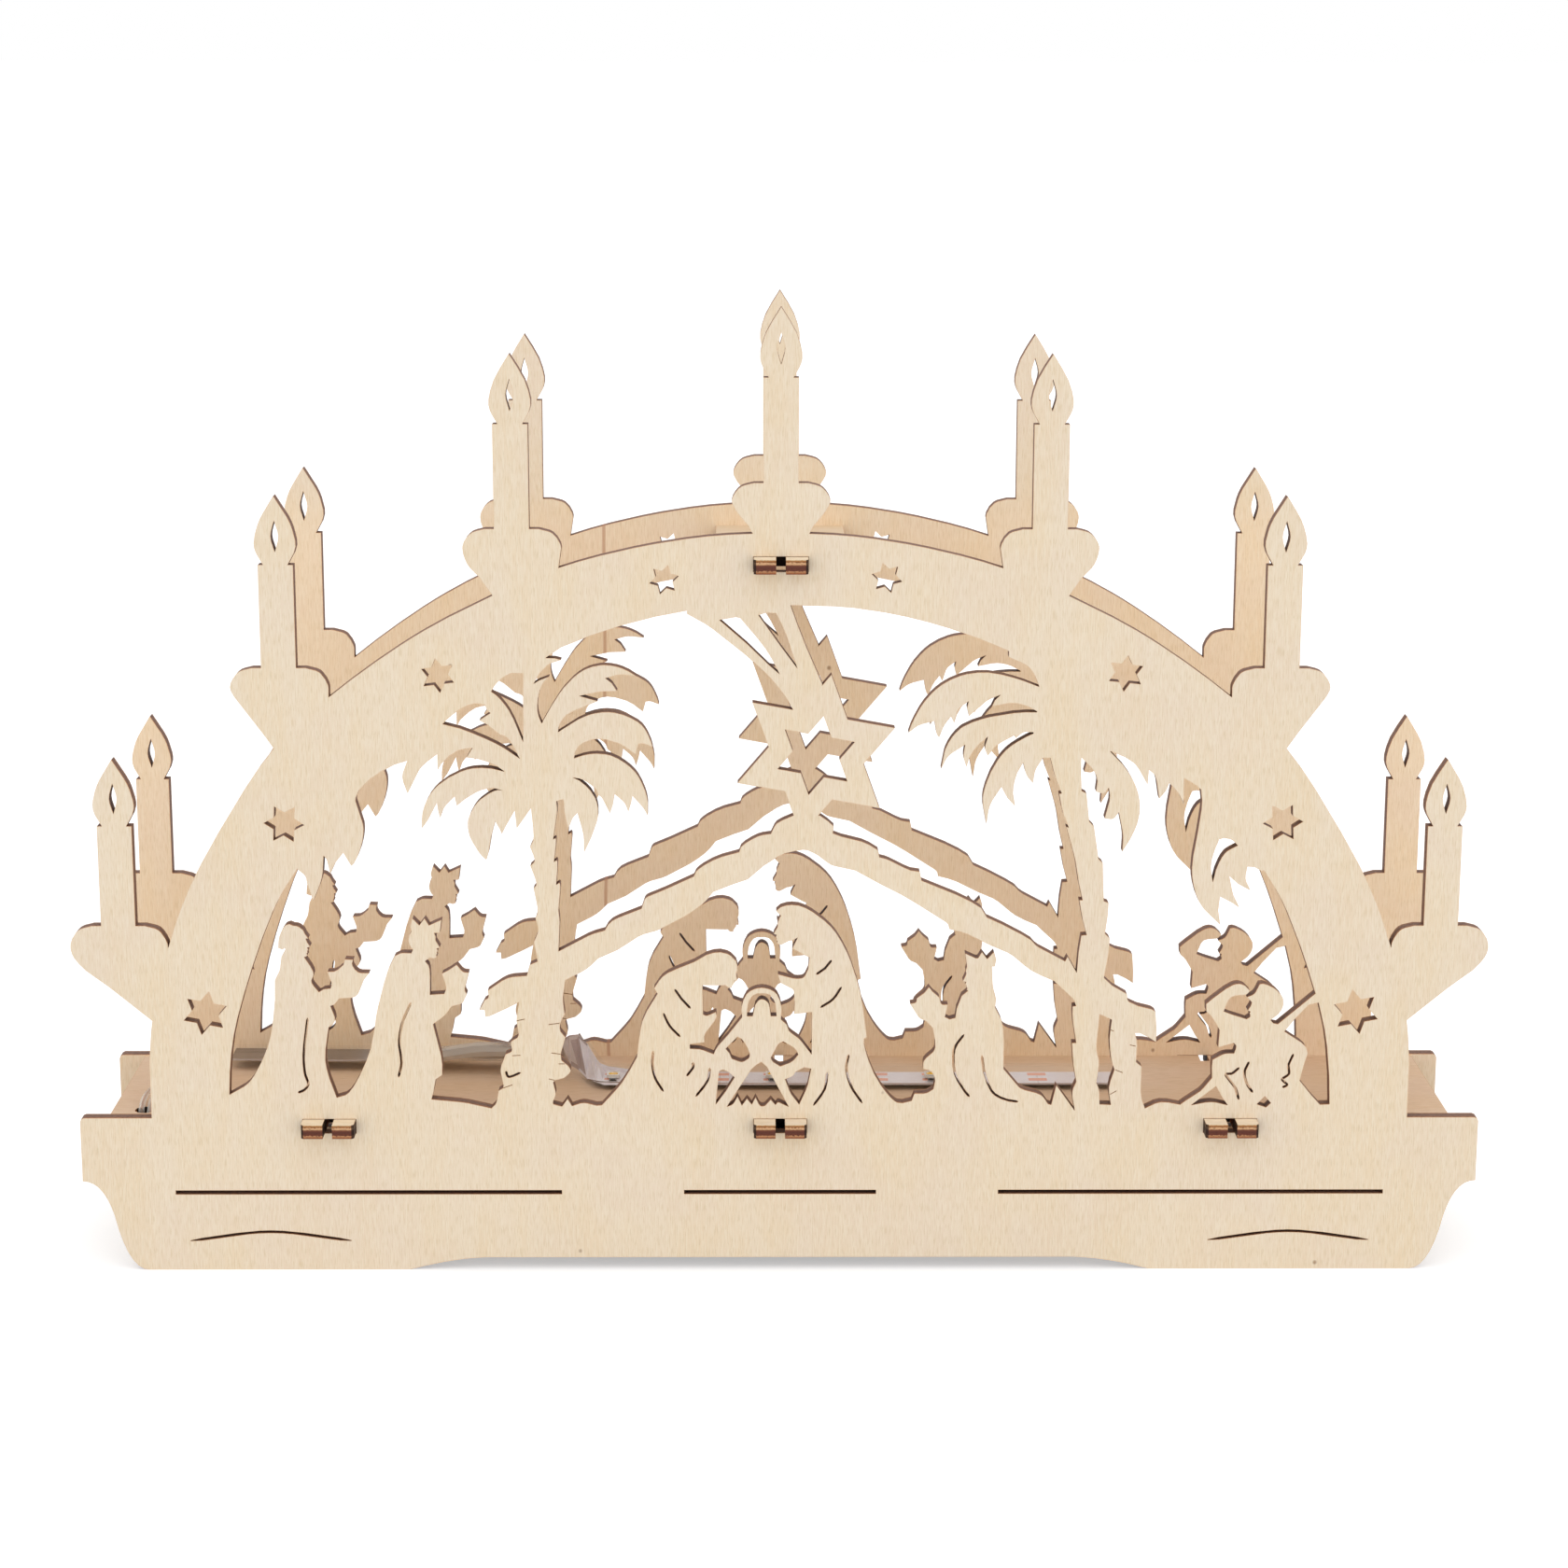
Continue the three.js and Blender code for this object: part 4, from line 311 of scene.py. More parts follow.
def plywood(name, face_axis, grain_axis, front, layer_colours):
    """Plywood whose layers are counted from front, in millimetres along face_axis."""
    finish = Finish(name, {"Roughness": 0.6, "Specular IOR Level": 0.22})
    place = finish.place()
    fibre = finish.noise(place, stretched(FIBRES, grain_axis), 3.0)
    hair = finish.noise(place, stretched(HAIRS, grain_axis))
    bands = finish.noise(place, stretched(BANDS, grain_axis), 3.0)
    cloud = finish.noise(place, stretched(CLOUDS, grain_axis))
    knots = finish.spots(finish.scaled(place, stretched(KNOTS, grain_axis)))

    face = CREAM
    for mask, share, colour in (
        (bands.above(0.5, 0.2), 0.75, STRAW),
        (cloud.above(0.54, 0.12), 0.4, ROSE),
        (fibre.above(0.54, 0.12), 0.5, LIGHT_FIBRE),
        (hair.above(0.58, 0.08), 0.45, DARK_FIBRE),
        (knots.below(0.02, 0.012), 0.7, KNOT),
    ):
        face = finish.mix(mask * share, face, colour)

    depth = (finish.parts(place)[face_axis] - front) * (1 / PLY)
    streak = finish.noise(place, stretched(STREAKS, face_axis), 3.0)
    edge = (depth + (streak - 0.5) * STREAK_SHIFT).ramp(layer_colours)
    edge = finish.mix(streak.above(0.56, 0.1) * 0.5, edge, CHAR)

    soft = finish.node("ShaderNodeBevel", {"samples": 4}, {"Radius": RIM_WIDTH * MM})
    rim = 1.0 - finish.parts(soft)[face_axis].math("ABSOLUTE")
    face = finish.mix(rim.above(0.14, 0.14) * 0.75, face, RIM)
    on_face = finish.normal()[face_axis].math("ABSOLUTE").above(0.5, 0.1)
    grain = fibre + hair * 0.6
    return finish, finish.mix(on_face, edge, face), grain


def low(node, axis):
    """Where a node of the model begins along an axis, in millimetres."""
    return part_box(node)[0][axis] / MM


def wear(node, material):
    """Gives a node of the model its finish."""
    slots = nodes[node].data.materials
    slots.clear()
    slots.append(material)


def wear_wood(node, finish, colour, grain):
    """Gives a node its plywood, with the grain standing a little proud."""
    finish.set({"Base Color": colour})
    finish.bump(grain, GRAIN_HEIGHT, GRAIN_STRENGTH)
    wear(node, finish.material)


finish, colour, grain = plywood(
    "birch_front_panel", BACKWARDS, UPWARDS, low("front_panel", BACKWARDS), WALL_LAYERS
)
wear_wood("front_panel", finish, colour, grain)
print("plywood on the front panel")

# %% [markdown]
# The floor plate and the strut lie flat, so their layers are counted upwards. In the narrow slits of
# their tabs, the wood faces forwards or backwards without being a tab's end. There it is painted
# nearly black: laser char, with painted shade for the dark inside the slits. The tabs' flanks face
# sideways inside the panels' slots, and they get nearly as dark a painted shade. Between the panels
# the upper face is multiplied by a duller tone. This tone is partly the sheet's own and partly
# painted shade where the panels keep light off. The tabs that stick out keep the plain colour.

# %% Floor plate and strut
SLIT_CHAR_AND_SHADE = shade("1c100e")
TAB_START = 24.0
TAB_END_MARGIN = 0.5
FLANK_SHADE_SHARE = 0.85

for node, tone_and_shade in (("floor_plate", shade("eeded4")), ("top_strut", shade("f4ece4"))):
    finish, colour, grain = plywood(
        "birch_" + node, UPWARDS, SIDEWAYS, low(node, UPWARDS), TAB_LAYERS
    )
    sideways, outward = [part.math("ABSOLUTE") for part in finish.normal()[:2]]
    far = finish.parts(finish.place())[BACKWARDS].math("ABSOLUTE")
    # Between the panels: a duller tone, partly the sheet's own and partly painted shade.
    toned_and_shaded = finish.mix(1.0, colour, tone_and_shade, "MULTIPLY")
    colour = finish.mix(far.below(TAB_START, 0.2), colour, toned_and_shaded)
    # Painted shade: the slits and the tabs' flanks go nearly black, over the laser char.
    slit_char_and_shade = outward.above(0.5, 0.2) * far.below(-low(node, BACKWARDS) - TAB_END_MARGIN, 0.1)
    flank_shade = sideways.above(0.5, 0.2) * far.above(TAB_START - PLY, 0.1) * FLANK_SHADE_SHARE
    wear_wood(node, finish, finish.mix(slit_char_and_shade + flank_shade, colour, SLIT_CHAR_AND_SHADE), grain)
print("plywood on the floor plate and the strut")

# %% [markdown]
# The rear panel's inner face is painted a little lighter. This painted light makes up for the light
# that the front panel keeps from it. Below the arch's top the face also gets a warm tan painted
# shade, for the front panel's shadow and the warm light that bounces between the panels. The shade
# fades out above the arch, where the rear candles are nearly as pale as the front ones. Its veneer
# is glued from two widths, and the seam is a thin reddish line left of the middle.

# %% Rear panel
INNER_PAINTED_LIGHT = (1.04, 1.04, 1.04, 1.0)
TAN_PAINTED_SHADE = (1.06, 1.01, 0.96, 1.0)
PAINTED_SHADE_TOP = 158.0
PAINTED_SHADE_FADE = 10.0
SEAM_PLACE = -38.2
SEAM_WIDTH = 0.35
SEAM_WANDER = 1.6
SEAM_RED = shade("b87c58")
SEAM_SHARE = 0.55

finish, colour, grain = plywood(
    "birch_rear_panel", BACKWARDS, UPWARDS, low("rear_panel", BACKWARDS), WALL_LAYERS
)
place = finish.place()
x, y, z = finish.parts(place)
inner = y.below(low("rear_panel", BACKWARDS) + 0.2, 0.1)
# Painted light lifts the inner face, and below the arch's top a warm tan painted shade lies on it.
painted_shade = z.below(PAINTED_SHADE_TOP, PAINTED_SHADE_FADE) * inner
for mask, tone in ((inner, INNER_PAINTED_LIGHT), (painted_shade, TAN_PAINTED_SHADE)):
    colour = finish.mix(mask, colour, finish.mix(1.0, colour, tone, "MULTIPLY"))
wander = finish.noise(place, [0.0, 0.0, 0.05], 1.0)
off_seam = (x - SEAM_PLACE + (wander - 0.5) * SEAM_WANDER).math("ABSOLUTE")
colour = finish.mix(off_seam.below(SEAM_WIDTH, 0.2) * SEAM_SHARE, colour, SEAM_RED)
wear_wood("rear_panel", finish, colour, grain)
print("the rear panel's seam is at", SEAM_PLACE, "mm")

# %% [markdown]
# ## Plain finishes
#
# The small parts are of plastic, metal and paper. Each has one main colour, and a little noise in
# its roughness and height gives the moulded or printed surface.

# %% Plastics and metals
STAINS = 0.08
STAIN_TONE = 0.86


def plain(name, code, roughness, grain, height, metallic=0.0, coat=0.0):
    """One colour with fine grain: its frequency per millimetre and its height in millimetres."""
    finish = Finish(name, {"Metallic": metallic, "Coat Weight": coat, "Coat Roughness": 0.15})
    place = finish.place()
    speckle = finish.noise(place, [grain] * 3)
    cloud = finish.noise(place, [STAINS] * 3)
    darker = [channel * STAIN_TONE for channel in shade(code)[:3]] + [1.0]
    finish.set({
        "Base Color": finish.mix(cloud.above(0.5, 0.2) * 0.5, shade(code), darker),
        "Roughness": speckle * 0.15 + (roughness - 0.08),
    })
    finish.bump(speckle, height, 0.6)
    return finish.material


black_plastic = plain("black_plastic", "232325", 0.5, 4.0, 0.03)
white_plastic = plain("white_plastic", "f1f0ec", 0.45, 4.0, 0.01)
nickel = plain("nickel", "cfccc4", 0.28, 6.0, 0.005, metallic=1.0)
foam = plain("foam", "f2f2ee", 0.9, 3.0, 0.15)
print("plain finishes: 4")

# %% [markdown]
# Silicone and the leads' skins are clear. Such a skin is seen mostly at its rims, where the eye
# looks along it, so the Layer Weight node sets how much it covers. Where the sleeve is twisted, it
# is made a little milky, and streaks of its pale colour are painted on there as glints.

# %% Clear skins
GLINT_SPAN_FADE = 4.0


def clear(name, code, thin, thick, roughness, glint_span=None):
    """A skin that covers little straight on, much at its rims, and some over the glint span, where
    it is milky and has painted glints.
    """
    finish = Finish(name, {"Base Color": shade(code), "IOR": 1.41})
    place = finish.place()
    rim = finish.node("ShaderNodeLayerWeight", {}, {"Blend": 0.1}, "Facing")
    ripples_and_glints = finish.noise(place, [0.05, 0.3, 0.3], 1.0)
    alpha = rim * rim * thick + thin
    if glint_span:
        x = finish.parts(place)[SIDEWAYS]
        there = x.above(glint_span[0], GLINT_SPAN_FADE) * x.below(glint_span[1], GLINT_SPAN_FADE)
        # Painted glints: over the glint span, streaks of the pale sleeve colour cover more, on top
        # of a little milkiness.
        alpha = alpha + there * (ripples_and_glints.above(0.52, 0.1) * 0.3 + 0.22)
    finish.set({"Alpha": alpha, "Roughness": ripples_and_glints * 0.12 + roughness})
    finish.bump(ripples_and_glints, 0.2, 0.3)
    return finish.material


silicone = clear("clear_silicone", "d2ccc4", 0.02, 0.4, 0.06, glint_span=(-80.0, -50.0))
lead_skin = clear("lead_skin", "efece4", 0.4, 1.0, 0.2)
print("clear skins: 2")

# %% [markdown]
# ## Copies of the model's pieces
#
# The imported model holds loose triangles. Where a piece needs soft corners, its mesh is copied, the
# doubled points are merged, and the copy stands in for the node. A Bevel modifier rounds moulded
# corners, because it finds them by their angle. Bent pieces are subdivided instead, and the edges
# that must stay crisp are creased first.

# %% Copy helpers
SHARP_ANGLE = math.radians(40)
FLAT_ANGLE = math.radians(1)
DOUBLES = 0.002
CORNER = 0.25
CORNER_STEPS = 2


def shown(work, name, *materials):
    """Makes an object of a bmesh."""
    mesh = bpy.data.meshes.new(name)
    work.to_mesh(mesh)
    work.free()
    for material in materials:
        mesh.materials.append(material)
    made = bpy.data.objects.new(name, mesh)
    bpy.context.scene.collection.objects.link(made)
    return made


def merged(node):
    """A bmesh of a node, with its doubled points merged."""
    work = bmesh.new()
    work.from_mesh(nodes[node].data)
    bmesh.ops.remove_doubles(work, verts=work.verts, dist=DOUBLES * MM)
    return work


def rounded(node, name, body, material):
    """A copy of a node without sharp corners."""
    work = merged(node)
    bmesh.ops.dissolve_limit(work, angle_limit=FLAT_ANGLE, verts=work.verts, edges=work.edges)
    made = shown(work, name, material)
    bevel = made.modifiers.new("corners", "BEVEL")
    bevel.width = CORNER * MM
    bevel.segments = CORNER_STEPS
    bevel.limit_method = "ANGLE"
    bevel.angle_limit = SHARP_ANGLE
    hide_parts(node)
    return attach(made, body)


def smoothed(work, name, material, levels):
    """A piece whose gentle bends are shaded smooth and whose corners stay sharp."""
    for face in work.faces:
        face.smooth = True
    crease = work.edges.layers.float.new("crease_edge")
    for edge in work.edges:
        edge.smooth = not edge.is_manifold or edge.calc_face_angle() < SHARP_ANGLE
        edge[crease] = 0.0 if edge.smooth else 1.0
    made = shown(work, name, material)
    if levels:
        surface = made.modifiers.new("smooth", "SUBSURF")
        surface.levels = levels
        surface.render_levels = levels
    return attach(made, "arch")


for node, body, material, slot in (
    ("battery_case", "arch", black_plastic, "black_plastic"),
    ("battery_lid", "lid", black_plastic, "black_plastic"),
    ("switch_housing", "arch", black_plastic, "black_plastic"),
    ("switch_knob", "knob", white_plastic, "white_plastic"),
):
    rounded(node, node + "_moulding", body, material)
wear("mounting_tape", foam)
print("copies stand for 4 nodes")

# %% [markdown]
# ## The light strip
#
# The strip is a flexible board in a clear sleeve. Its upper side is white, with pairs of copper
# pads where it may be cut, and its back is brown. It lies flat at the right, and left of the half
# turn its back is up. Each kind of pad repeats from diode to diode, so one row of pads is measured
# from the nearest cut by folding the place along the strip with a modulo.

# %% Places on the board
TURN_PLACE = -44.0
TWIST_LEFT = TURN_PLACE - 18
TWIST_RIGHT = TURN_PLACE + 2
CUT_PLACE = -13.0
DIODE_PITCH = 34.6
PITCHES_ADDED = 20
STRIP_MIDDLE = 0.5
PAD_ROWS = 1.9
PAD_LENGTH = 4.0
PAD_WIDTH = 1.9
SMALL_PAD_PLACE = 10.8
SMALL_PAD_LENGTH = 2.6
SMALL_PAD_WIDTH = 0.8 * PAD_WIDTH
HALF_CUT = 0.12

finish = Finish("strip_board", {"Specular IOR Level": 0.5, "Coat Weight": 0.15})
place = finish.place()
x, y = finish.parts(place)[:2]
face_is_up = x.above(TURN_PLACE, 0.5) * 2 - 1.0
top = (finish.normal()[UPWARDS] * face_is_up).above(0.0, 0.2)
folded = (x - CUT_PLACE + PITCHES_ADDED * DIODE_PITCH).math("MODULO", DIODE_PITCH)


def pair(middle, length, width):
    """Two pads, one in each row, given their middle and size along the strip."""
    row = ((y - STRIP_MIDDLE).math("ABSOLUTE") - PAD_ROWS).math("ABSOLUTE")
    inside = (folded - middle).math("ABSOLUTE").below(length / 2, 0.12)
    return inside * row.below(width / 2, 0.1)


pads = pair(0.0, PAD_LENGTH, PAD_WIDTH) + pair(DIODE_PITCH, PAD_LENGTH, PAD_WIDTH)
pads = pads + pair(SMALL_PAD_PLACE, SMALL_PAD_LENGTH, SMALL_PAD_WIDTH)
cut_line = folded.below(HALF_CUT, 0.05) + folded.above(DIODE_PITCH - HALF_CUT, 0.05)
twisted = x.above(TWIST_LEFT, 4.0) * x.below(TWIST_RIGHT, 2.0)
print("a pair of pads each", DIODE_PITCH, "mm, and the half turn at", TURN_PLACE, "mm")

# %% Board's colours
speckle = finish.noise(place, [0.8] * 3)
stripes = finish.noise(place, [0.06, 0.9, 0.9])
front = finish.mix(speckle.above(0.5, 0.3) * 0.5, shade("e9e3e6"), shade("dcd2d6"))
front = finish.mix(cut_line * 0.5, front, shade("b9a6a2"))
front = finish.mix(pads, front, shade("e6a488"))
back = finish.mix(stripes.above(0.5, 0.2), shade("8c7868"), shade("74604f"))
back = finish.mix(twisted, back, shade("7c4a3a"))
finish.set({
    "Base Color": finish.mix(top, back, front),
    "Metallic": pads * top * 0.3,
    "Roughness": 0.42 + speckle * 0.1,
})
finish.bump(pads, 0.03, 0.6)
print("the board is white in front and brown at the back")

# %% [markdown]
# The board's triangles are joined to strips of four-sided faces before it is subdivided, so that
# its half turn becomes one even twist.

# %% Board and sleeve
BEND_LEVELS = 2

work = merged("led_board")
bmesh.ops.join_triangles(
    work, faces=work.faces, angle_face_threshold=SHARP_ANGLE, angle_shape_threshold=math.pi
)
board = smoothed(work, "strip_board", finish.material, BEND_LEVELS)
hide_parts("led_board")
sleeve = smoothed(merged("led_sleeve"), "silicone_sleeve", silicone, 0)
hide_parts("led_sleeve")
print("board and sleeve made")

# %% [markdown]
# A diode is a small white box with a cup in its top, filled with yellow resin, and a silvery
# terminal at each end. It is modelled flat at the origin: the box's edges are bevelled, its top is
# inset and sunk, and a flattened ball is the resin. Then it is turned and moved to where the
# model's own diode is. Beside each diode sits a tiny black resistor, which goes with it.

# %% Finishes of the diodes
resin = Finish("diode_resin", {"Roughness": 0.25, "Coat Weight": 0.3})
dust = resin.noise(resin.place(), [6.0] * 3)
resin.set({"Base Color": resin.mix(dust.above(0.5, 0.3), shade("f4c21c"), shade("e6a80e"))})
resin.bump(dust, 0.01, 0.5)
diode_white = plain("diode_white", "ece9e2", 0.4, 6.0, 0.01)
resistor_black = plain("resistor_black", "1b1a1c", 0.35, 6.0, 0.01)
print("finishes on the board: 3")

# %% Diodes and resistors
DIODE_SIZE = (2.8, 2.9, 0.72)
TERMINAL_SIZE = (1.6, 0.5, 0.3)
CUP_RIM = 0.3
CUP_DEPTH = 0.12
TERMINAL_ASIDE = 1.5
TERMINAL_PLACE = -0.22
LENS_RADIUS = 1.05
LENS_FLATNESS = 0.24
LENS_PLACE = 0.22
RESISTOR_SIZE = (1.5, 0.75, 0.36)
CAP_SIZE = (0.3, 0.8, 0.4)
CAP_ASIDE = 0.68
RESISTOR_ASIDE = -2.85
RESISTOR_PLACE = -0.2


def block(work, size, middle, corner, material_index):
    """A box with rounded edges, added to a bmesh; sizes in millimetres."""
    made = bmesh.ops.create_cube(work, size=MM)
    bmesh.ops.scale(work, vec=size, verts=made["verts"])
    bmesh.ops.translate(work, vec=Vector(middle) * MM, verts=made["verts"])
    edges = list(dict.fromkeys(edge for vert in made["verts"] for edge in vert.link_edges))
    faces = {face for vert in made["verts"] for face in vert.link_faces}
    cut = bmesh.ops.bevel(
        work, geom=edges, offset=corner * MM, offset_type="OFFSET", affect="EDGES",
        segments=2, profile=0.5, material=-1,
    )
    for face in faces | set(cut["faces"]):
        if face.is_valid:
            face.material_index = material_index


def diode_body():
    """A diode of three materials: 0 is the white case, 1 the resin and 2 the terminals."""
    work = bmesh.new()
    block(work, DIODE_SIZE, (0, 0, 0.02), 0.08, 0)
    for side in (-1, 1):
        block(work, TERMINAL_SIZE, (0, side * TERMINAL_ASIDE, TERMINAL_PLACE), 0.05, 2)
    top = max(work.faces, key=lambda face: (face.normal.z > 0.9) * face.calc_area())
    bmesh.ops.inset_region(work, faces=[top], thickness=CUP_RIM * MM)
    sunk = bmesh.ops.extrude_face_region(work, geom=[top])
    lowered = [item for item in sunk["geom"] if isinstance(item, bmesh.types.BMVert)]
    bmesh.ops.translate(work, vec=Vector((0, 0, -CUP_DEPTH)) * MM, verts=lowered)
    bmesh.ops.delete(work, geom=[top], context="FACES")
    lens = bmesh.ops.create_uvsphere(
        work, u_segments=24, v_segments=10, radius=LENS_RADIUS * MM
    )["verts"]
    bmesh.ops.scale(work, vec=(1, 1, LENS_FLATNESS), verts=lens)
    bmesh.ops.translate(work, vec=Vector((0, 0, LENS_PLACE)) * MM, verts=lens)
    for face in {face for vert in lens for face in vert.link_faces}:
        face.material_index = 1
        face.smooth = True
    return work


def resistor_body():
    """A resistor of two materials: 0 is the black body and 1 the end caps."""
    work = bmesh.new()
    block(work, RESISTOR_SIZE, (0, RESISTOR_ASIDE, RESISTOR_PLACE), 0.04, 0)
    for side in (-1, 1):
        block(work, CAP_SIZE, (side * CAP_ASIDE, RESISTOR_ASIDE, RESISTOR_PLACE), 0.04, 1)
    return work


def seat(node):
    """The turn and move that bring a flat diode at the origin to the model's diode."""
    corners = merged(node)
    middle = sum((vert.co for vert in corners.verts), Vector()) / len(corners.verts)
    shortest = min(corners.edges, key=lambda edge: edge.calc_length())
    upright = (shortest.verts[1].co - shortest.verts[0].co).normalized()
    corners.free()
    face_up = 1 if middle.x / MM > TURN_PLACE else -1
    if upright.z * face_up < 0:
        upright.negate()
    along = Vector((1, 0, 0))
    turn = Matrix((along, upright.cross(along), upright)).transposed().to_4x4()
    return Matrix.Translation(middle) @ turn


for node in [name for name in nodes if name.startswith("led_") and name[-1].isdigit()]:
    number = node[-1]
    to_place = seat(node)
    for work, name, materials in (
        (diode_body(), "diode_" + number, (diode_white, resin.material, nickel)),
        (resistor_body(), "resistor_" + number, (resistor_black, nickel)),
    ):
        bmesh.ops.transform(work, matrix=to_place, verts=work.verts)
        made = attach(shown(work, name, *materials), "arch")
        if name.startswith("diode"):
            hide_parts(node)
print("diodes and resistors placed")

# %% [markdown]
# The two leads are thin copper strands in a clear skin. The skin is a smoothed copy of the model's
# lead, and the strand inside is the same tube, shrunk along its normals.

# %% Leads
LEAD_SHRINK = 0.4

copper = plain("copper_strand", "c98a62", 0.35, 5.0, 0.02, metallic=0.8)
for node in ("lead_positive", "lead_negative"):
    skin = smoothed(merged(node), node + "_skin", lead_skin, BEND_LEVELS)
    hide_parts(node)
    work = merged(node)
    bmesh.ops.recalc_face_normals(work, faces=work.faces)
    work.normal_update()
    for vert in work.verts:
        vert.co += vert.normal * -LEAD_SHRINK * MM
    smoothed(work, node + "_strand", copper, BEND_LEVELS)
print("leads: 2 skins, 2 strands")

# %% [markdown]
# ## The battery cells and their contacts
#
# A cell is a steel can in a printed sleeve. Its outline is drawn once as a half profile and spun
# round the long axis: the flat end with its rolled rim, the sleeve, the shoulder and the raised
# end. The middle cell lies the other way round.

# %% Cells
WRAP_BAND = 13.0
SPIN_STEPS = 40
CELL_DOUBLES = 0.01
CELL_STEEL = [(0, 0), (3.6, 0), (3.9, 0.25), (4.5, 0.1)]
CELL_WRAP = [(4.5, 0.1), (5.05, 0.05), (5.2, 0.4), (5.2, 43.1), (4.9, 43.6), (4.1, 43.7)]
CELL_NUB = [(4.1, 43.7), (2.3, 43.6), (1.9, 43.8), (1.85, 44.3), (1.6, 44.45), (0, 44.5)]
CELLS = [f"battery_cell_{number}" for number in (1, 2, 3)]
MIDDLE_CELL = 1
ABOUT_FACE = Matrix.Rotation(math.pi, 3, "Z")


def wrapping(name, raised_end, sign):
    """A printed sleeve with a brass-coloured band at the raised end; sign is 1 if that is right."""
    finish = Finish(name, {"Coat Weight": 0.4, "Coat Roughness": 0.2, "Metallic": 0.25})
    place = finish.place()
    grain = finish.noise(place, [0.4, 3.0, 3.0])
    to_end = (raised_end - finish.parts(place)[SIDEWAYS]) * sign
    green = finish.mix(grain.above(0.5, 0.3) * 0.5, shade("2f5b45"), shade("27503c"))
    brass = finish.mix(grain.above(0.5, 0.3) * 0.5, shade("c8a45c"), shade("b8924c"))
    finish.set({
        "Base Color": finish.mix(to_end.below(WRAP_BAND, 0.15), green, brass),
        "Roughness": grain * 0.15 + 0.3,
    })
    finish.bump(grain, 0.01, 0.4)
    return finish.material


def spun(work, profile, material_index):
    """Spins a half profile, given as radius and place along X in millimetres, round the X axis."""
    verts = [work.verts.new(Vector((place, 0, radius)) * MM) for radius, place in profile]
    edges = [work.edges.new(ends) for ends in zip(verts, verts[1:])]
    before = set(work.faces)
    bmesh.ops.spin(
        work, geom=verts + edges, cent=(0, 0, 0), axis=(1, 0, 0),
        angle=math.tau, steps=SPIN_STEPS, use_merge=True, use_duplicate=False,
    )
    for face in set(work.faces) - before:
        face.material_index = material_index
        face.smooth = True


steel = plain("cell_steel", "c9c7c2", 0.3, 5.0, 0.008, metallic=1.0)
for i, node in enumerate(CELLS):
    lowest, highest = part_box(node)
    work = bmesh.new()
    spun(work, CELL_STEEL, 1)
    spun(work, CELL_WRAP, 0)
    spun(work, CELL_NUB, 1)
    bmesh.ops.remove_doubles(work, verts=work.verts, dist=CELL_DOUBLES * MM)
    bmesh.ops.recalc_face_normals(work, faces=work.faces)
    start, end, sign = lowest.x, highest.x, 1
    if i == MIDDLE_CELL:
        bmesh.ops.rotate(work, cent=(0, 0, 0), matrix=ABOUT_FACE, verts=work.verts)
        start, end, sign = highest.x, lowest.x, -1
    middle = (lowest + highest) / 2
    bmesh.ops.translate(work, vec=(start, middle.y, middle.z), verts=work.verts)
    wrap = wrapping(f"cell_wrap_{i + 1}", end / MM, sign)
    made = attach(shown(work, f"cell_{i + 1}", wrap, steel), "arch")
    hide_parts(node)
print("cells:", len(CELLS))

# %% [markdown]
# The contacts are nickel plates. As the cells lie head to tail, a spring presses on each flat end
# and a dimple touches each raised end. A dimple is spun as a cell is. A spring is a ring of wire
# that is spun and pushed along at once, and then narrowed towards its tip.

# %% Contacts
PLATE = 0.4
DIMPLE = [(0, 1.75), (0.9, 1.65), (1.5, 1.2), (1.9, 0.5), (2.4, 0.3)]
COIL_TURNS = 3
TURN_STEPS = 20
COIL_REACH = 1.4
COIL_BASE = 2.6
COIL_TIP = 1.5
COIL_WIRE = 0.45


def coil(work):
    """A cone-shaped spring along X, in an empty bmesh."""
    bmesh.ops.create_circle(work, cap_ends=True, segments=8, radius=COIL_WIRE * MM / 2)
    upright = Matrix.Rotation(math.pi / 2, 3, "X")
    bmesh.ops.rotate(work, cent=(0, 0, 0), matrix=upright, verts=work.verts)
    bmesh.ops.translate(work, vec=Vector((0, 0, COIL_BASE)) * MM, verts=work.verts)
    steps = TURN_STEPS * COIL_TURNS
    bmesh.ops.spin(
        work, geom=work.verts[:] + work.edges[:] + work.faces[:], cent=(0, 0, 0), axis=(1, 0, 0),
        dvec=Vector((COIL_REACH / steps, 0, 0)) * MM, angle=math.tau * COIL_TURNS, steps=steps,
        use_merge=False, use_duplicate=False,
    )
    for vert in work.verts:
        share = min(max(vert.co.x / MM / COIL_REACH, 0), 1)
        narrow = 1 + share * (COIL_TIP / COIL_BASE - 1)
        vert.co.y *= narrow
        vert.co.z *= narrow


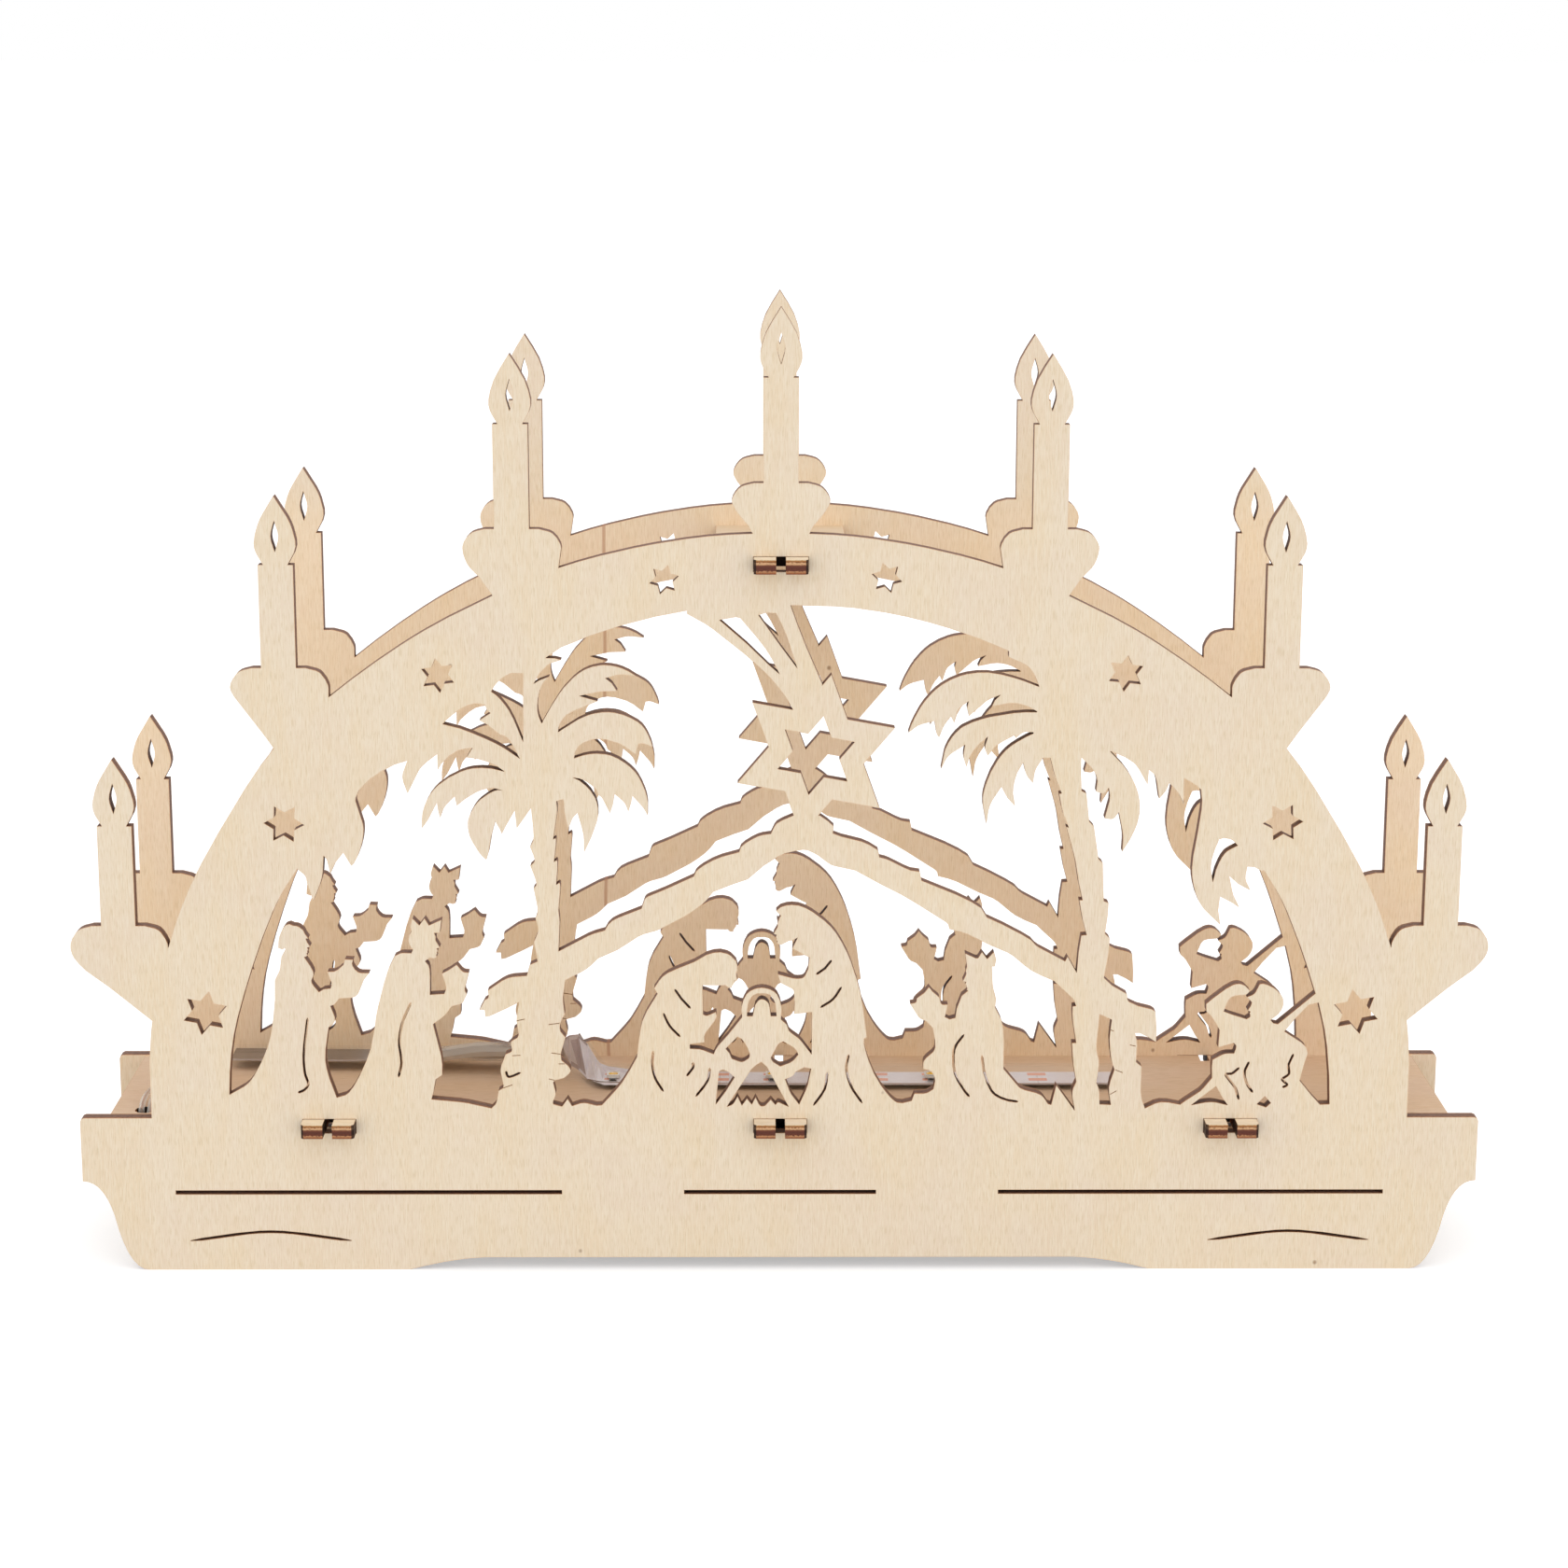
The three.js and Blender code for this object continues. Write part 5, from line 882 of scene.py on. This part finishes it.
for node, cells, at_right in (
    ("contact_first", [0], False),
    ("contact_bridge_1", [0, 1], True),
    ("contact_bridge_2", [1, 2], False),
    ("contact_last", [2], True),
):
    lowest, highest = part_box(node)
    inward = -1 if at_right else 1
    wall = (highest.x if at_right else lowest.x) / MM
    size = (highest - lowest) / MM
    middle = (highest + lowest) / 2 / MM
    work = bmesh.new()
    plate_middle = (wall + inward * PLATE / 2, middle.y, middle.z)
    block(work, (PLATE, size.y, size.z), plate_middle, 0.12, 0)
    for cell in cells:
        part = bmesh.new()
        if (cell != MIDDLE_CELL) == at_right:
            spun(part, DIMPLE, 0)
        else:
            coil(part)
            bmesh.ops.translate(part, vec=Vector((PLATE, 0, 0)) * MM, verts=part.verts)
        if at_right:
            bmesh.ops.rotate(part, cent=(0, 0, 0), matrix=ABOUT_FACE, verts=part.verts)
        row = sum(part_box(CELLS[cell]), Vector()) / 2
        bmesh.ops.translate(part, vec=(wall * MM, row.y, row.z), verts=part.verts)
        bmesh.ops.recalc_face_normals(part, faces=part.faces)
        spare = bpy.data.meshes.new("spare")
        part.to_mesh(spare)
        part.free()
        work.from_mesh(spare)
        bpy.data.meshes.remove(spare)
    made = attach(shown(work, node + "_spring", nickel), "arch")
    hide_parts(node)
print("contacts: 4")

# %% [markdown]
# ## Stage
#
# The arch stands on a white table in a white room, as in a product photograph. The table glows a
# little, but only where the camera looks at it, so it runs into the white background without
# lighting the wood, and still shows the arch's soft shadow.

# %% Table
FLOOR_HALF = 30.0
TABLE_PALE = 0.82
TABLE_SEEN = 0.8
TABLE_GLOW = 0.42

work = bmesh.new()
bmesh.ops.create_grid(work, x_segments=1, y_segments=1, size=FLOOR_HALF)
table = Finish(
    "white_table", {"Roughness": 0.6, "Specular IOR Level": 0.0, "Emission Strength": 1.0}
)
floor = shown(work, "table", table.material)

seen = table.node("ShaderNodeLightPath", {}, {}, "Is Camera Ray")
paper = table.noise(table.place(), [0.3] * 3)
for_light, for_camera = [
    table.mix(paper * 0.1, grey(tone), grey(tone * 0.97)) for tone in (TABLE_PALE, TABLE_SEEN)
]
table.set({
    "Base Color": table.mix(seen, for_light, for_camera),
    "Emission Color": table.mix(seen, grey(0.0), grey(TABLE_GLOW)),
})
print("table laid")

# %% [markdown]
# Sun lamps light the table evenly as far as the eye can see, so no horizon shows. Each is given a
# wide angle, which makes its shadows as soft as those of a large studio lamp. The world fills in
# the rest, and it is pure white where the camera, a gloss or clear silicone looks at it.

# %% Lights
SUN_ANGLE = math.radians(60)
WORLD_LEVEL = 0.84

for name, towards, strength in (
    ("left_lamp", (0.6, 0.85, -0.7), 0.26),
    ("right_lamp", (-0.6, 0.85, -0.7), 0.24),
    ("top_lamp", (0.0, 0.4, -1.0), 0.3),
):
    lamp = bpy.data.lights.new(name, "SUN")
    lamp.energy = strength
    lamp.angle = SUN_ANGLE
    light = bpy.data.objects.new(name, lamp)
    light.rotation_euler = Vector(towards).to_track_quat("-Z", "Y").to_euler()
    bpy.context.scene.collection.objects.link(light)

world = bpy.data.worlds.new("studio")
bpy.context.scene.world = world
world.use_nodes = True
tree = world.node_tree
background = tree.nodes["Background"]
background.inputs["Strength"].default_value = 1.0
paths = tree.nodes.new("ShaderNodeLightPath")
white = paths.outputs["Is Camera Ray"]
for ray in ("Is Glossy Ray", "Is Transmission Ray"):
    either = tree.nodes.new("ShaderNodeMath")
    either.operation = "MAXIMUM"
    tree.links.new(white, either.inputs[0])
    tree.links.new(paths.outputs[ray], either.inputs[1])
    white = either.outputs[0]
level = tree.nodes.new("ShaderNodeMix")
level.data_type = "RGBA"
level.inputs[6].default_value = grey(WORLD_LEVEL)
level.inputs[7].default_value = grey(1.0)
tree.links.new(white, level.inputs[0])
tree.links.new(level.outputs[2], background.inputs["Color"])
bpy.context.scene.view_settings.view_transform = "Standard"
print("lights set")
